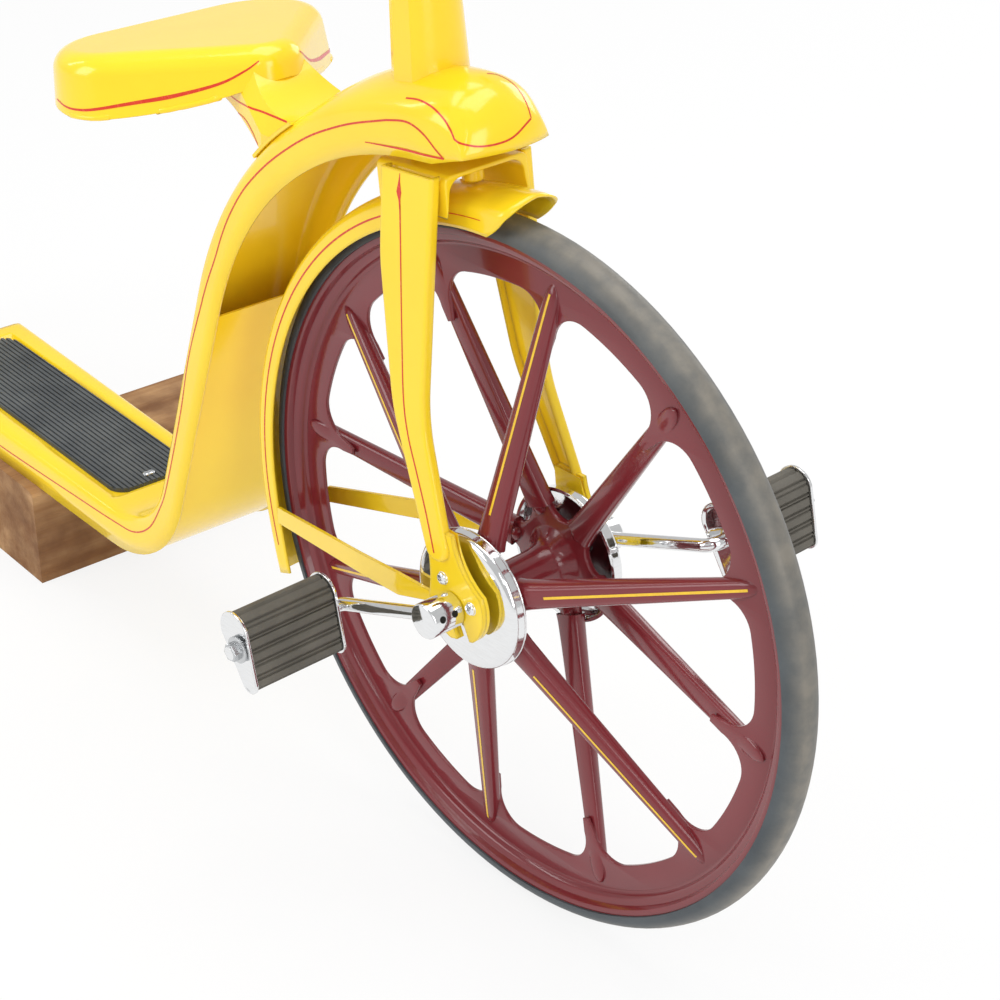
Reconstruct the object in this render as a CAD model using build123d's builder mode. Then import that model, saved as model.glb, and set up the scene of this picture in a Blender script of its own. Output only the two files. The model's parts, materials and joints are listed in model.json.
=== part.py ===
from build123d import *
import os
from collections import namedtuple
from math import acos, atan2, cos, degrees, hypot, radians, sin, tan

# Pedal scooter: a tall spoked front wheel with cranks on its own axle, a pressed steel channel body with a
# footboard and a saddle, and a small rear wheel. It rests on a timber beam under the footboard.
# Millimetres. X forward, Y to the rider's left, Z up. The origin is on the floor under the beam's middle.

# Wheels and stance
front_wheel_radius = 254.0
rear_wheel_radius = 127.0
front_axle_x = 622.0
wheelbase = 955.0
steer_turn = 3.1  # the wheel stands turned this far to the left

# Fits and small sizes used all over
running_gap = 0.05
seat_gap = 0.3
overrun = 20.0
sheet = 2.0

# Timber beam across the scooter, under the footboard
beam_length_x = 115.0
beam_height = 90.0
beam_right_y = -68.0
beam_left_y = 172.0
beam_wane = 5.0

# Body channel: footboard, rising leg and head, one depth all along
channel_depth = 31.0
footboard_rear_x = -188.0
lower_bend_x = 170.0
lower_bend_radius = 115.0
upper_bend_x = 606.0
upper_bend_z = 266.5
upper_bend_radius = 277.0
half_width_at_bend = 56.0
taper_per_length = 0.019
taper_per_height = 0.022
crease_radius = 8.0
crease_inner_radius = 4.0
face_turn_share = 0.9  # a face whose normal has this much of an axis faces that way
nose_front_x = 621.0
nose_corner_x = 607.0

# Footboard mat in its tray
mat_rear_x = -168.0
mat_front_x = 152.0
mat_half_width = 37.0
mat_corner = 16.0
mat_thickness = 4.0
tray_depth = 3.0
mat_rib_count = 17
mat_groove_width = 1.6
mat_groove_depth = 1.4

# Closing panel in the leg's front
panel_top_z = 354.0
panel_inset = 1.5

# Front tyre and wheel
tyre_section_radius = 13.2
bead_drop = 13.0  # from the tread down to the bead
bead_half_width = 11.6
rim_step_drop = 25.0
rim_web_drop = 45.0
rim_web_half_thickness = 1.6
rim_flange = 4.0
rim_slope = 2.0
spoke_pairs = 6
spoke_first_angle = 82.7
spoke_root_radius = 42.0
spoke_tip_drop = 38.0
spoke_root_width = 20.0
spoke_tip_width = 12.0
spoke_root_depth = 14.0
spoke_tip_depth = 8.0
spoke_round_share = 5 / 11  # corner radius over the spoke's depth
prow_length_share = 0.5  # the pointed end, over the tip's depth
prow_width_share = 0.5
prow_depth_share = 1 / 3
window_corner = 17.0
web_corner_reach = 2.0
hub_plate_offset = 33.0
hub_plate_thickness = 5.0
hub_plate_radius = 30.0
hub_barrel_radius = 13.5
axle_radius = 6.0

# Chrome hub cups
cup_radius = 48.0
cup_inner_y = 39.4
cup_outer_y = 50.0
cup_edge = 4.0

# Cranks and pedals
crank_length = 110.0
crank_drop_angle = 21.0
crank_rod_radius = 4.8
crank_boss_radius = 12.4
crank_boss_inner_y = 60.6
crank_boss_outer_y = 85.0
crank_boss_cap = 3.0
boss_chamfer = 1.0
crank_rod_y = 73.0
crank_elbow_radius = 9.0
pedal_inner_y = 82.0
pedal_block_length = 72.0
pedal_plate = 2.0
pedal_tread = 56.0
pedal_thickness = 27.0
pedal_point_thickness = 14.0
pedal_tilt = 23.0
pedal_hole_shift = 3.0
pedal_rib_count = 7
pedal_groove = 1.6
pedal_sleeve_radius = 6.5
pedal_plate_rim = 1.5
pedal_nut_radius = 6.5
pedal_nut_length = 6.0
pedal_washer_radius = 9.5
pedal_washer = 1.5

# Fork legs: a pressed blade that leans in, ending in a flat claw round the axle
claw_inner_y = 56.5
claw_thickness = 3.5
claw_top_drop = 53.0
blade_inner_top_y = 34.0
blade_depth = 8.0
blade_wall = 2.5
blade_edge = 2.5
blade_end_radius = 9.0
blade_bend_radius = 120.0
blade_low_z = 285.0
blade_low_rear_x = 602.0
blade_low_front_x = 623.0
blade_mid_z = 375.0
blade_mid_rear_x = 559.0
blade_mid_front_x = 589.0
blade_high_z = 470.0
blade_high_rear_x = 539.0
blade_high_front_x = 586.0
blade_top_rear_x = 535.0
blade_top_front_x = 584.0

# Crown bracket and steering stem
steer_rake = 5.5
steer_x_at_cap = 534.0
steer_z_at_cap = 568.0
crown_top_z = 529.0
crown_plate = 3.0
crown_height = 27.0
crown_behind = 16.0
crown_ahead = 56.0
fender_boss_radius = 7.0
fender_boss_angle = 100.0
fender_boss_length = 12.0
stem_radius = 11.0
stem_top_rise = 190.0
neck_reach = 42.0
neck_width = 24.0
clamp_radius = 17.0
clamp_width = 34.0

# Head tube inside the channel and the tapered shroud on it
head_tube_radius = 16.0
shroud_base_length = 40.0
shroud_base_width = 46.0
shroud_top_length = 32.0
shroud_top_width = 32.0
shroud_height = 150.0
shroud_bury = 16.0
shroud_wall = 2.0
shroud_cap = 4.0
shroud_ahead = 4.5
shroud_crease_share = 0.28
shroud_nose_share = 0.25

# Handlebar and grips
handlebar_radius = 11.0
handlebar_wall = 1.6
bar_centre_half = 40.0
bar_bend_half = 95.0
bar_end_half = 215.0
bar_rise = 70.0
bar_sweep = 150.0
bar_bend_radius = 38.0
bar_bend_rise_share = 0.9
bar_shoulder_half_share = 0.9
bar_shoulder_back_share = 0.22
grip_length = 92.0
grip_radius = 14.5
grip_flange_radius = 19.0
grip_flange = 4.0
grip_edge = 1.5

# Front fender and its stays
fender_sheet = 1.6
fender_half_width = 22.0
fender_lip_drop = 7.0
fender_crown_clear = 13.0
fender_shoulder = 8.0
fender_front_angle = 76.0
fender_lip_front_angle = 92.0
fender_rear_angle = 202.0
fender_ahead = 5.0  # its centre lies this far ahead of the axle
stay_thickness = 2.5
stay_height = 13.0
stay_end_height = 17.0
stay_fender_x = 386.0
stay_fender_z = 207.0
stay_bend_x = 511.0
stay_bend_y = 48.0
stay_straight_x = 562.0
stay_bend_radius = 53.0
stay_claw_z = 243.0

# Rear fender, fork plates and axle
rear_fender_half_width = 38.0
rear_fender_sheet = 2.0
rear_fender_drop = 30.0
rear_fender_start_angle = -2.0
rear_fender_end_angle = 168.0
rear_fork_thickness = 4.0
rear_fork_eye_radius = 15.0
rear_axle_radius = 5.0
rear_nut_radius = 9.0
rear_nut_length = 7.0
rear_axle_stub = 8.0
rear_spoke_root_radius = 24.0
rear_spoke_root_width = 11.0
rear_spoke_root_depth = 8.0
rear_hub_plate_offset = 17.0
rear_hub_plate_radius = 18.0
rear_barrel_radius = 10.0
rear_side_clear = 1.0

# Saddle: a pressed pan, nose up
saddle_nose_x = 372.0
saddle_nose_z = 554.0
saddle_tilt = 8.5
saddle_nose_radius = 27.0
saddle_lobe_radius = 52.0
saddle_lobe_back = 120.0
saddle_lobe_half = 50.0
saddle_depth = 50.0
saddle_draft = 6.0
saddle_edge = 15.0
saddle_sheet = 1.8
saddle_hem_rear_x = 262.0
saddle_hem_rear_z = 496.0
saddle_hem_mid_x = 330.0
saddle_hem_mid_z = 509.0
saddle_hem_front_x = 378.0
saddle_hem_front_z = 532.0

# Saddle bracket: a foot that follows the cover and a pressed arm up to the pan
bracket_sheet = 2.5
bracket_foot_front_angle = 123.0
bracket_foot_rear_angle = 134.0
bracket_foot_half_width = 40.0
bracket_arm_front_angle = 124.5
bracket_arm_rear_angle = 133.0
bracket_top_front_x = 356.0
bracket_top_rear_x = 322.0
bracket_throat_x = 372.0
bracket_throat_z = 534.0
bracket_belly_x = 352.0
bracket_belly_z = 506.0
bracket_half_base = 36.0
bracket_half_top = 13.5

os.makedirs("parts", exist_ok=True)

rear_axle_x = front_axle_x - wheelbase
footboard_z = beam_height
rear_arm_outer_y = rear_fender_half_width - rear_fender_sheet - running_gap
rear_barrel_half = rear_arm_outer_y - rear_fork_thickness - rear_side_clear
lower_bend_z = footboard_z + lower_bend_radius
bend_span_x = upper_bend_x - lower_bend_x
bend_span_z = upper_bend_z - lower_bend_z
leg_normal = atan2(bend_span_z, bend_span_x) - acos(
    (lower_bend_radius + upper_bend_radius) / hypot(bend_span_x, bend_span_z)
)
cover_radius = upper_bend_radius + channel_depth
cover_z = footboard_z + channel_depth
steer_slope = tan(radians(steer_rake))
steer_dir = Vector(-sin(radians(steer_rake)), 0, cos(radians(steer_rake)))
steer_axis = Axis(Vector(steer_x_at_cap, 0, steer_z_at_cap), steer_dir)
wheel_plane = Plane(origin=(front_axle_x, 0, front_wheel_radius), x_dir=(1, 0, 0), z_dir=(0, -1, 0))
rear_plane = Plane(origin=(rear_axle_x, 0, rear_wheel_radius), x_dir=(1, 0, 0), z_dir=(0, -1, 0))


def save(part, name, turned=False):
    """Labels a finished piece, turns it with the steering where it steers, and writes it."""
    done = part.rotate(steer_axis, steer_turn) if turned else part
    done.label = name
    export_step(done, f"parts/{name}.step")


def half_width(x, z):
    """Half the body's width at a place on its side."""
    return half_width_at_bend - taper_per_length * (x - lower_bend_x) - taper_per_height * (z - footboard_z)


def side_plane(side, inset):
    """A side's leaning plane, its normal outward, moved in by the inset. side is -1 right and +1 left."""
    outward = Vector(taper_per_length, side, taper_per_height).normalized()
    on_side = Vector(lower_bend_x, side * half_width_at_bend, footboard_z) - outward * inset
    return Plane(origin=on_side, x_dir=(1, -side * taper_per_length, 0), z_dir=outward)


def on_bend(centre_x, centre_z, radius, angle):
    return (centre_x + radius * cos(angle), centre_z + radius * sin(angle))


def steer_x(z):
    """Where the steering axis passes at a height."""
    return steer_x_at_cap + (steer_z_at_cap - z) * steer_slope


def channel_outline(inset, open_reach):
    """Side view of the channel: the cover's curve moved in by inset, the open edge out by open_reach."""
    rear_x = footboard_rear_x + inset
    front_x = nose_front_x - inset
    low_r = lower_bend_radius - channel_depth + inset
    low_open_r = lower_bend_radius + open_reach
    up_r = cover_radius - inset
    up_open_r = upper_bend_radius - open_reach
    leg_top = leg_normal + radians(180)
    middle_low = (leg_normal - radians(90)) / 2
    middle_up = (leg_top + radians(90)) / 2
    low = (lower_bend_x, lower_bend_z)
    up = (upper_bend_x, upper_bend_z)
    with BuildSketch(Plane.XZ) as outline:
        with BuildLine():
            Polyline((lower_bend_x, footboard_z - open_reach), (rear_x, footboard_z - open_reach),
                     (rear_x, cover_z - inset), (lower_bend_x, cover_z - inset))
            ThreePointArc((lower_bend_x, cover_z - inset), on_bend(*low, low_r, middle_low),
                          on_bend(*low, low_r, leg_normal))
            Line(on_bend(*low, low_r, leg_normal), on_bend(*up, up_r, leg_top))
            ThreePointArc(on_bend(*up, up_r, leg_top), on_bend(*up, up_r, middle_up),
                          (upper_bend_x, upper_bend_z + up_r))
            Polyline((upper_bend_x, upper_bend_z + up_r), (front_x, upper_bend_z + up_r),
                     (front_x, upper_bend_z + up_open_r), (upper_bend_x, upper_bend_z + up_open_r))
            ThreePointArc((upper_bend_x, upper_bend_z + up_open_r), on_bend(*up, up_open_r, middle_up),
                          on_bend(*up, up_open_r, leg_top))
            Line(on_bend(*up, up_open_r, leg_top), on_bend(*low, low_open_r, leg_normal))
            ThreePointArc(on_bend(*low, low_open_r, leg_normal), on_bend(*low, low_open_r, middle_low),
                          (lower_bend_x, footboard_z - open_reach))
        make_face()
    return outline.sketch


def nose_plan(inset):
    """Plan view that rounds the nose: wide behind, an arc in front."""
    nose_half = half_width(nose_corner_x, upper_bend_z + cover_radius) - inset
    wide = half_width_at_bend + overrun
    with BuildSketch(Plane.XY) as plan:
        with BuildLine():
            Polyline((nose_corner_x - inset, -nose_half), (nose_corner_x - inset, -wide),
                     (footboard_rear_x - overrun, -wide), (footboard_rear_x - overrun, wide),
                     (nose_corner_x - inset, wide), (nose_corner_x - inset, nose_half))
            ThreePointArc((nose_corner_x - inset, nose_half), (nose_front_x - inset, 0),
                          (nose_corner_x - inset, -nose_half))
        make_face()
    return plan.sketch


def channel_solid(inset, open_reach, crease):
    """The channel's form moved in by the inset: a bent bar with leaning sides, round creases and nose."""
    with BuildPart() as bar:
        extrude(channel_outline(inset, open_reach), amount=half_width_at_bend + overrun, both=True)
        split(bisect_by=side_plane(-1, inset), keep=Keep.BOTTOM)
        split(bisect_by=side_plane(1, inset), keep=Keep.BOTTOM)
        extrude(nose_plan(inset), amount=upper_bend_z + cover_radius + overrun, mode=Mode.INTERSECT)
        sides = bar.faces().filter_by(lambda face: abs(face.normal_at().Y) > face_turn_share)
        covers = bar.faces().filter_by(lambda face: face.normal_at().Z > 0) - sides
        fillet(covers.edges() & sides.edges(), crease)
    return bar.part


def mat_outline(grow):
    """Plan view of the footboard mat, larger by grow all round."""
    length = mat_front_x - mat_rear_x + 2 * grow
    width = 2 * (mat_half_width + grow)
    with BuildSketch(Plane.XY) as plan:
        with Locations(((mat_rear_x + mat_front_x) / 2, 0)):
            RectangleRounded(length, width, mat_corner + grow)
    return plan.sketch


# Body channel, pressed from sheet: a cover, two sides and the tray for the mat
with BuildPart() as body_channel:
    add(channel_solid(0, 0, crease_radius))
    add(channel_solid(sheet, overrun, crease_inner_radius), mode=Mode.SUBTRACT)
    extrude(mat_outline(sheet).moved(Location((0, 0, cover_z - tray_depth - sheet))), amount=tray_depth)
    extrude(mat_outline(0).moved(Location((0, 0, cover_z - tray_depth))), amount=overrun, mode=Mode.SUBTRACT)
    with Locations(steer_axis.location):
        Cylinder(stem_radius + running_gap, channel_depth + overrun, mode=Mode.SUBTRACT)
save(body_channel.part, "body_channel")

# Closing panel, curved under the bend and flat up the leg's front, between the two sides
with BuildPart() as leg_panel:
    low_r = lower_bend_radius - panel_inset
    leg_top = leg_normal + radians(180)
    panel_end = on_bend(upper_bend_x, upper_bend_z, upper_bend_radius + panel_inset, leg_top)
    with BuildSketch(Plane.XZ):
        with BuildLine():
            ThreePointArc((lower_bend_x, lower_bend_z - low_r),
                          on_bend(lower_bend_x, lower_bend_z, low_r, (leg_normal - radians(90)) / 2),
                          on_bend(lower_bend_x, lower_bend_z, low_r, leg_normal))
            Line(on_bend(lower_bend_x, lower_bend_z, low_r, leg_normal), panel_end)
            offset(amount=sheet, side=Side.LEFT)
        make_face()
    extrude(amount=half_width_at_bend, both=True)
    split(bisect_by=Plane.XY.offset(panel_top_z), keep=Keep.BOTTOM)
    split(bisect_by=side_plane(-1, sheet + running_gap), keep=Keep.BOTTOM)
    split(bisect_by=side_plane(1, sheet + running_gap), keep=Keep.BOTTOM)
save(leg_panel.part, "leg_panel")

# Ribbed rubber mat in its tray
with BuildPart() as footboard_mat:
    extrude(mat_outline(-seat_gap).moved(Location((0, 0, cover_z - tray_depth))), amount=mat_thickness)
    groove_step = 2 * mat_half_width / mat_rib_count
    groove_length = mat_front_x - mat_rear_x + overrun
    with Locations((0, 0, cover_z - tray_depth + mat_thickness)):
        with GridLocations(0, groove_step, 1, mat_rib_count):
            Box(groove_length, mat_groove_width, 2 * mat_groove_depth, mode=Mode.SUBTRACT)
save(footboard_mat.part, "footboard_mat")

# Timber beam, sawn square with worn long edges
with BuildPart() as wood_beam:
    with BuildSketch(Plane.XZ.offset(-beam_left_y)):
        Rectangle(beam_length_x, beam_height, align=(Align.CENTER, Align.MIN))
    extrude(amount=beam_left_y - beam_right_y)
    chamfer(wood_beam.edges().filter_by(Axis.Y).group_by(Axis.Z)[-1], beam_wane)
save(wood_beam.part, "wood_beam")


HubForm = namedtuple(
    "HubForm", "plate_offset plate_radius root_radius root_width root_depth barrel_radius barrel_half bore"
)


def section_plane(axle_x, axle_z):
    """The plane through an axle: across is along the axle, up is outward from it."""
    return Plane(origin=(axle_x, 0, axle_z), x_dir=(0, 1, 0), z_dir=(1, 0, 0))


def tyre(axle_x, radius):
    """Solid rubber tyre seated on the rim's flat."""
    bead = radius - bead_drop
    room = 2 * tyre_section_radius + overrun
    with BuildPart() as ring:
        with BuildSketch(section_plane(axle_x, radius)):
            with Locations((0, radius - tyre_section_radius)):
                Circle(tyre_section_radius)
            with Locations((0, bead + running_gap)):
                Rectangle(room, room, align=(Align.CENTER, Align.MIN), mode=Mode.INTERSECT)
        revolve(axis=Axis((axle_x, 0, radius), (0, 1, 0)))
    return ring.part


def wheel(axle_x, radius, hub):
    """Rim, twelve spokes in two flared rows, two six-armed hub plates and a barrel, as one casting."""
    axle = Vector(axle_x, 0, radius)
    disc = Plane(origin=axle, x_dir=(1, 0, 0), z_dir=(0, -1, 0))
    bead = radius - bead_drop
    step = radius - rim_step_drop
    web = radius - rim_web_drop
    tip_radius = radius - spoke_tip_drop
    step_half = (bead_half_width + rim_web_half_thickness) / 2
    corner = window_corner * web / (front_wheel_radius - rim_web_drop)
    with BuildPart() as casting:
        with BuildSketch(section_plane(axle_x, radius)):
            with BuildLine():
                Polyline((-bead_half_width, bead), (bead_half_width, bead),
                         (bead_half_width, bead - rim_flange), (step_half, bead - rim_flange - rim_slope),
                         (step_half, step + rim_slope), (rim_web_half_thickness, step),
                         (rim_web_half_thickness, step - rim_slope),
                         (-rim_web_half_thickness, step - rim_slope), (-rim_web_half_thickness, step),
                         (-step_half, step + rim_slope), (-step_half, bead - rim_flange - rim_slope),
                         (-bead_half_width, bead - rim_flange), close=True)
            make_face()
        revolve(axis=Axis(axle, (0, 1, 0)))
        with BuildSketch(disc.offset(-rim_web_half_thickness)) as web_sketch:
            Circle(step)
            Circle(web, mode=Mode.SUBTRACT)
            with PolarLocations(web, 2 * spoke_pairs, start_angle=spoke_first_angle):
                Rectangle(2 * (corner + web_corner_reach), spoke_tip_width)
            corner_reach = hypot(web, rim_web_half_thickness)
            inner_corners = web_sketch.vertices().filter_by(
                lambda v: abs((v.center() - axle).length - corner_reach) < web_corner_reach
            )
            fillet(inner_corners, corner)
        extrude(amount=2 * rim_web_half_thickness)
        for spoke in range(2 * spoke_pairs):
            side = 1 if spoke % 2 == 0 else -1
            angle = radians(spoke_first_angle - 180 / spoke_pairs * spoke)
            outward = Vector(cos(angle), 0, sin(angle))
            across = Vector(-sin(angle), 0, cos(angle))
            root = axle + outward * hub.root_radius + Vector(0, -side * hub.plate_offset, 0)
            tip = axle + outward * tip_radius
            along = (tip - root).normalized()
            prow = tip + along * spoke_tip_depth * prow_length_share
            for place, wide, deep in (
                (root, hub.root_width, hub.root_depth),
                (tip, spoke_tip_width, spoke_tip_depth),
                (prow, spoke_tip_width * prow_width_share, spoke_tip_depth * prow_depth_share),
            ):
                with BuildSketch(Plane(origin=place, x_dir=across, z_dir=along)):
                    RectangleRounded(wide, deep, deep * spoke_round_share)
            loft(ruled=True)
        for side in (1, -1):
            plate_start = spoke_first_angle if side == 1 else spoke_first_angle - 180 / spoke_pairs
            with BuildSketch(disc.offset(side * hub.plate_offset - hub_plate_thickness / 2)):
                Circle(hub.plate_radius)
                with PolarLocations(hub.root_radius / 2, spoke_pairs, start_angle=plate_start):
                    Rectangle(hub.root_radius, hub.root_width)
                with PolarLocations(hub.root_radius, spoke_pairs, start_angle=plate_start):
                    Circle(hub.root_width / 2)
            extrude(amount=hub_plate_thickness)
        with Locations(disc):
            Cylinder(hub.barrel_radius, 2 * hub.barrel_half)
            Cylinder(hub.bore + running_gap, 2 * hub.barrel_half + overrun, mode=Mode.SUBTRACT)
    return casting.part


front_hub = HubForm(hub_plate_offset, hub_plate_radius, spoke_root_radius, spoke_root_width,
                    spoke_root_depth, hub_barrel_radius, hub_plate_offset, axle_radius)
rear_hub = HubForm(rear_hub_plate_offset, rear_hub_plate_radius, rear_spoke_root_radius,
                   rear_spoke_root_width, rear_spoke_root_depth, rear_barrel_radius, rear_barrel_half,
                   rear_axle_radius)
save(tyre(front_axle_x, front_wheel_radius), "front_tyre", turned=True)
save(wheel(front_axle_x, front_wheel_radius, front_hub), "front_wheel", turned=True)
save(tyre(rear_axle_x, rear_wheel_radius), "rear_tyre")
save(wheel(rear_axle_x, rear_wheel_radius, rear_hub), "rear_wheel")

# Chrome hub cup, a deep dish whose rim meets the roots of the spokes
with BuildPart() as hub_cup_right:
    cup_bore = axle_radius + running_gap
    corner_depth = cup_edge * (1 - sin(radians(45)))
    with BuildSketch(section_plane(front_axle_x, front_wheel_radius)):
        with BuildLine():
            Line((-cup_inner_y, cup_radius), (-cup_outer_y + cup_edge, cup_radius))
            ThreePointArc((-cup_outer_y + cup_edge, cup_radius),
                          (-cup_outer_y + corner_depth, cup_radius - corner_depth),
                          (-cup_outer_y, cup_radius - cup_edge))
            Polyline((-cup_outer_y, cup_radius - cup_edge), (-cup_outer_y, cup_bore),
                     (-cup_outer_y + sheet, cup_bore), (-cup_outer_y + sheet, cup_radius - cup_edge),
                     (-cup_outer_y + cup_edge, cup_radius - sheet), (-cup_inner_y, cup_radius - sheet),
                     (-cup_inner_y, cup_radius))
        make_face()
    revolve(axis=Axis(wheel_plane.origin, (0, 1, 0)))
save(hub_cup_right.part, "hub_cup_right", turned=True)
save(hub_cup_right.part.mirror(Plane.XZ), "hub_cup_left", turned=True)

# Front axle, one bar from crank to crank
with BuildPart() as front_axle:
    with Locations(wheel_plane):
        Cylinder(axle_radius, 2 * (crank_boss_outer_y - crank_boss_cap - running_gap))
save(front_axle.part, "front_axle", turned=True)

crank_angle = radians(180 + crank_drop_angle)
crank_end_x = front_axle_x + crank_length * cos(crank_angle)
crank_end_z = front_wheel_radius + crank_length * sin(crank_angle)
pedal_outer_y = pedal_inner_y + 2 * pedal_plate + pedal_block_length
spindle_end_y = pedal_outer_y + pedal_washer + pedal_nut_length + seat_gap

# Right crank: a boss on the axle and a round rod bent outward to carry the pedal
with BuildPart() as crank_right:
    with BuildLine() as rod_path:
        FilletPolyline((front_axle_x, -crank_rod_y, front_wheel_radius),
                       (crank_end_x, -crank_rod_y, crank_end_z),
                       (crank_end_x, -spindle_end_y, crank_end_z), radius=crank_elbow_radius)
    with BuildSketch(Plane(origin=rod_path.line @ 0, z_dir=rod_path.line % 0)):
        Circle(crank_rod_radius)
    sweep()
    with BuildSketch(wheel_plane.offset(crank_boss_inner_y)):
        Circle(crank_boss_radius)
    extrude(amount=crank_boss_outer_y - crank_boss_inner_y)
    chamfer(crank_right.edges().filter_by(GeomType.CIRCLE).sort_by(Axis.Y)[-1:], boss_chamfer)
    with BuildSketch(wheel_plane.offset(crank_boss_inner_y)):
        Circle(axle_radius + running_gap)
    extrude(amount=crank_boss_outer_y - crank_boss_cap - crank_boss_inner_y, mode=Mode.SUBTRACT)
front_axle_line = Axis(wheel_plane.origin, (0, 1, 0))
save(crank_right.part, "crank_right", turned=True)


def to_left(part):
    """A right-hand piece of the crank and pedal, carried over to the left side, half a turn on."""
    return part.rotate(front_axle_line, 180).mirror(Plane.XZ)


def to_left_pedal(part):
    """A piece of the right pedal, carried over to the left crank's end. Both pedals hang the same way up."""
    to_other_end = (2 * (front_axle_x - crank_end_x), 0, 2 * (front_wheel_radius - crank_end_z))
    return part.mirror(Plane.XZ).moved(Location(to_other_end))


save(to_left(crank_right.part), "crank_left", turned=True)

# The pedal's own plane: its first direction along the tread, its normal outward on the right side
pedal_down = radians(pedal_tilt)
pedal_plane = Plane(origin=(crank_end_x, 0, crank_end_z), x_dir=(sin(pedal_down), 0, -cos(pedal_down)),
                    z_dir=(0, -1, 0))


def pedal_outline(grow):
    """End view of the pedal: thick and round at the top, narrower towards the foot of the tread."""
    half = pedal_tread / 2 + grow
    with BuildSketch(Plane.XY) as outline:
        with BuildLine():
            top = pedal_thickness / 2 + grow
            low = pedal_point_thickness / 2 + grow
            ThreePointArc((-half + top, top), (-half, 0), (-half + top, -top))
            Line((-half + top, -top), (half - low, -low))
            ThreePointArc((half - low, -low), (half, 0), (half - low, low))
            Line((half - low, low), (-half + top, top))
        make_face()
    return outline.sketch


def pedal_slab(sketch, inner_y, length):
    with BuildPart() as slab:
        with Locations(pedal_plane.offset(inner_y).location * Location((pedal_hole_shift, 0, 0))):
            add(extrude(sketch, amount=length, mode=Mode.PRIVATE))
    return slab.part


# Pedal rubber, ribbed along its length
with BuildPart() as pedal_rubber_right:
    add(pedal_slab(pedal_outline(0), pedal_inner_y + pedal_plate, pedal_block_length))
    with BuildSketch(pedal_plane.offset(pedal_inner_y)):
        Circle(pedal_sleeve_radius + running_gap)
        for rib in range(pedal_rib_count):
            along = pedal_hole_shift - pedal_tread / 2 + pedal_thickness / 2
            along += rib * (pedal_tread - pedal_thickness) / (pedal_rib_count - 1)
            share = rib / (pedal_rib_count - 1)
            half = (pedal_thickness * (1 - share) + pedal_point_thickness * share) / 2
            with Locations((along, half), (along, -half)):
                Rectangle(pedal_groove, 2 * pedal_groove)
    extrude(amount=pedal_block_length + overrun, mode=Mode.SUBTRACT)
save(pedal_rubber_right.part, "pedal_rubber_right", turned=True)
save(to_left_pedal(pedal_rubber_right.part), "pedal_rubber_left", turned=True)

# Pedal plates, pressed dishes at both ends of the rubber, with a sleeve between them round the spindle
with BuildPart() as pedal_cage_right:
    add(pedal_slab(pedal_outline(pedal_plate_rim), pedal_inner_y - running_gap, pedal_plate))
    add(pedal_slab(pedal_outline(pedal_plate_rim), pedal_outer_y - pedal_plate + running_gap, pedal_plate))
    with BuildSketch(pedal_plane.offset(pedal_inner_y)):
        Circle(pedal_sleeve_radius)
    extrude(amount=pedal_outer_y - pedal_inner_y)
    with BuildSketch(pedal_plane.offset(pedal_inner_y - running_gap)):
        Circle(crank_rod_radius + running_gap)
    extrude(amount=pedal_outer_y - pedal_inner_y + overrun, mode=Mode.SUBTRACT)
save(pedal_cage_right.part, "pedal_cage_right", turned=True)
save(to_left_pedal(pedal_cage_right.part), "pedal_cage_left", turned=True)

# Nut and washer that keep the pedal on its spindle
with BuildPart() as pedal_nut_right:
    with BuildSketch(pedal_plane.offset(pedal_outer_y + seat_gap)):
        Circle(pedal_washer_radius)
    extrude(amount=pedal_washer)
    with BuildSketch(pedal_plane.offset(pedal_outer_y + seat_gap + pedal_washer)):
        RegularPolygon(pedal_nut_radius, 6)
    extrude(amount=pedal_nut_length)
    with BuildSketch(pedal_plane.offset(pedal_outer_y)):
        Circle(crank_rod_radius + running_gap)
    extrude(amount=overrun, mode=Mode.SUBTRACT)
save(pedal_nut_right.part, "pedal_nut_right", turned=True)
save(to_left_pedal(pedal_nut_right.part), "pedal_nut_left", turned=True)

# Fork leg: a flat claw, open below round the axle, and above it a hollow pressed blade
slot_lean = radians(27)
slot_width = 2 * (axle_radius + running_gap)
lean = atan2(claw_inner_y - blade_inner_top_y, crown_top_z - blade_low_z)
blade_plane = Plane(origin=(front_axle_x, -claw_inner_y, blade_low_z), x_dir=(1, 0, 0),
                    z_dir=(0, -cos(lean), sin(lean)))
crown_forward = Vector(cos(radians(steer_rake)), 0, sin(radians(steer_rake)))
crown_centre = Vector(steer_x(crown_top_z), 0, crown_top_z)
crown_top = Plane(origin=crown_centre, x_dir=crown_forward, z_dir=steer_dir)


# The claw's outline as places along X and Z from the axle, in shares of its rise, chosen by eye
claw_rear_shares = ((-0.02, 1), (-0.49, 1), (-0.42, 0.45), (-0.41, 0.26), (-0.44, 0))
claw_heel_shares = ((-0.44, 0), (-0.32, -0.28), (-0.04, -0.45))
claw_front_shares = ((0.37, -0.33), (0.55, 0), (0.49, 0.33))
claw_neck_shares = ((0.49, 0.33), (0.13, 0.64), (-0.02, 1))


def on_claw(shares):
    return [(front_axle_x + x * claw_top_drop, front_wheel_radius + z * claw_top_drop) for x, z in shares]


def claw_outline():
    """Side view of the claw, from the blade's foot down to its two tips."""
    axle = (front_axle_x, front_wheel_radius)
    slot_middle = (front_axle_x + claw_top_drop * sin(slot_lean) / 2,
                   front_wheel_radius - claw_top_drop * cos(slot_lean) / 2)
    with BuildSketch(Plane.XZ) as outline:
        with BuildLine():
            Polyline(*on_claw(claw_rear_shares))
            ThreePointArc(*on_claw(claw_heel_shares))
            Line(*on_claw((claw_heel_shares[-1], claw_front_shares[0])))
            ThreePointArc(*on_claw(claw_front_shares))
            ThreePointArc(*on_claw(claw_neck_shares))
        make_face()
        with Locations(axle):
            Circle(slot_width / 2, mode=Mode.SUBTRACT)
        with Locations(slot_middle):
            Rectangle(slot_width, claw_top_drop, rotation=degrees(slot_lean), mode=Mode.SUBTRACT)
    return outline.sketch


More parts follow.
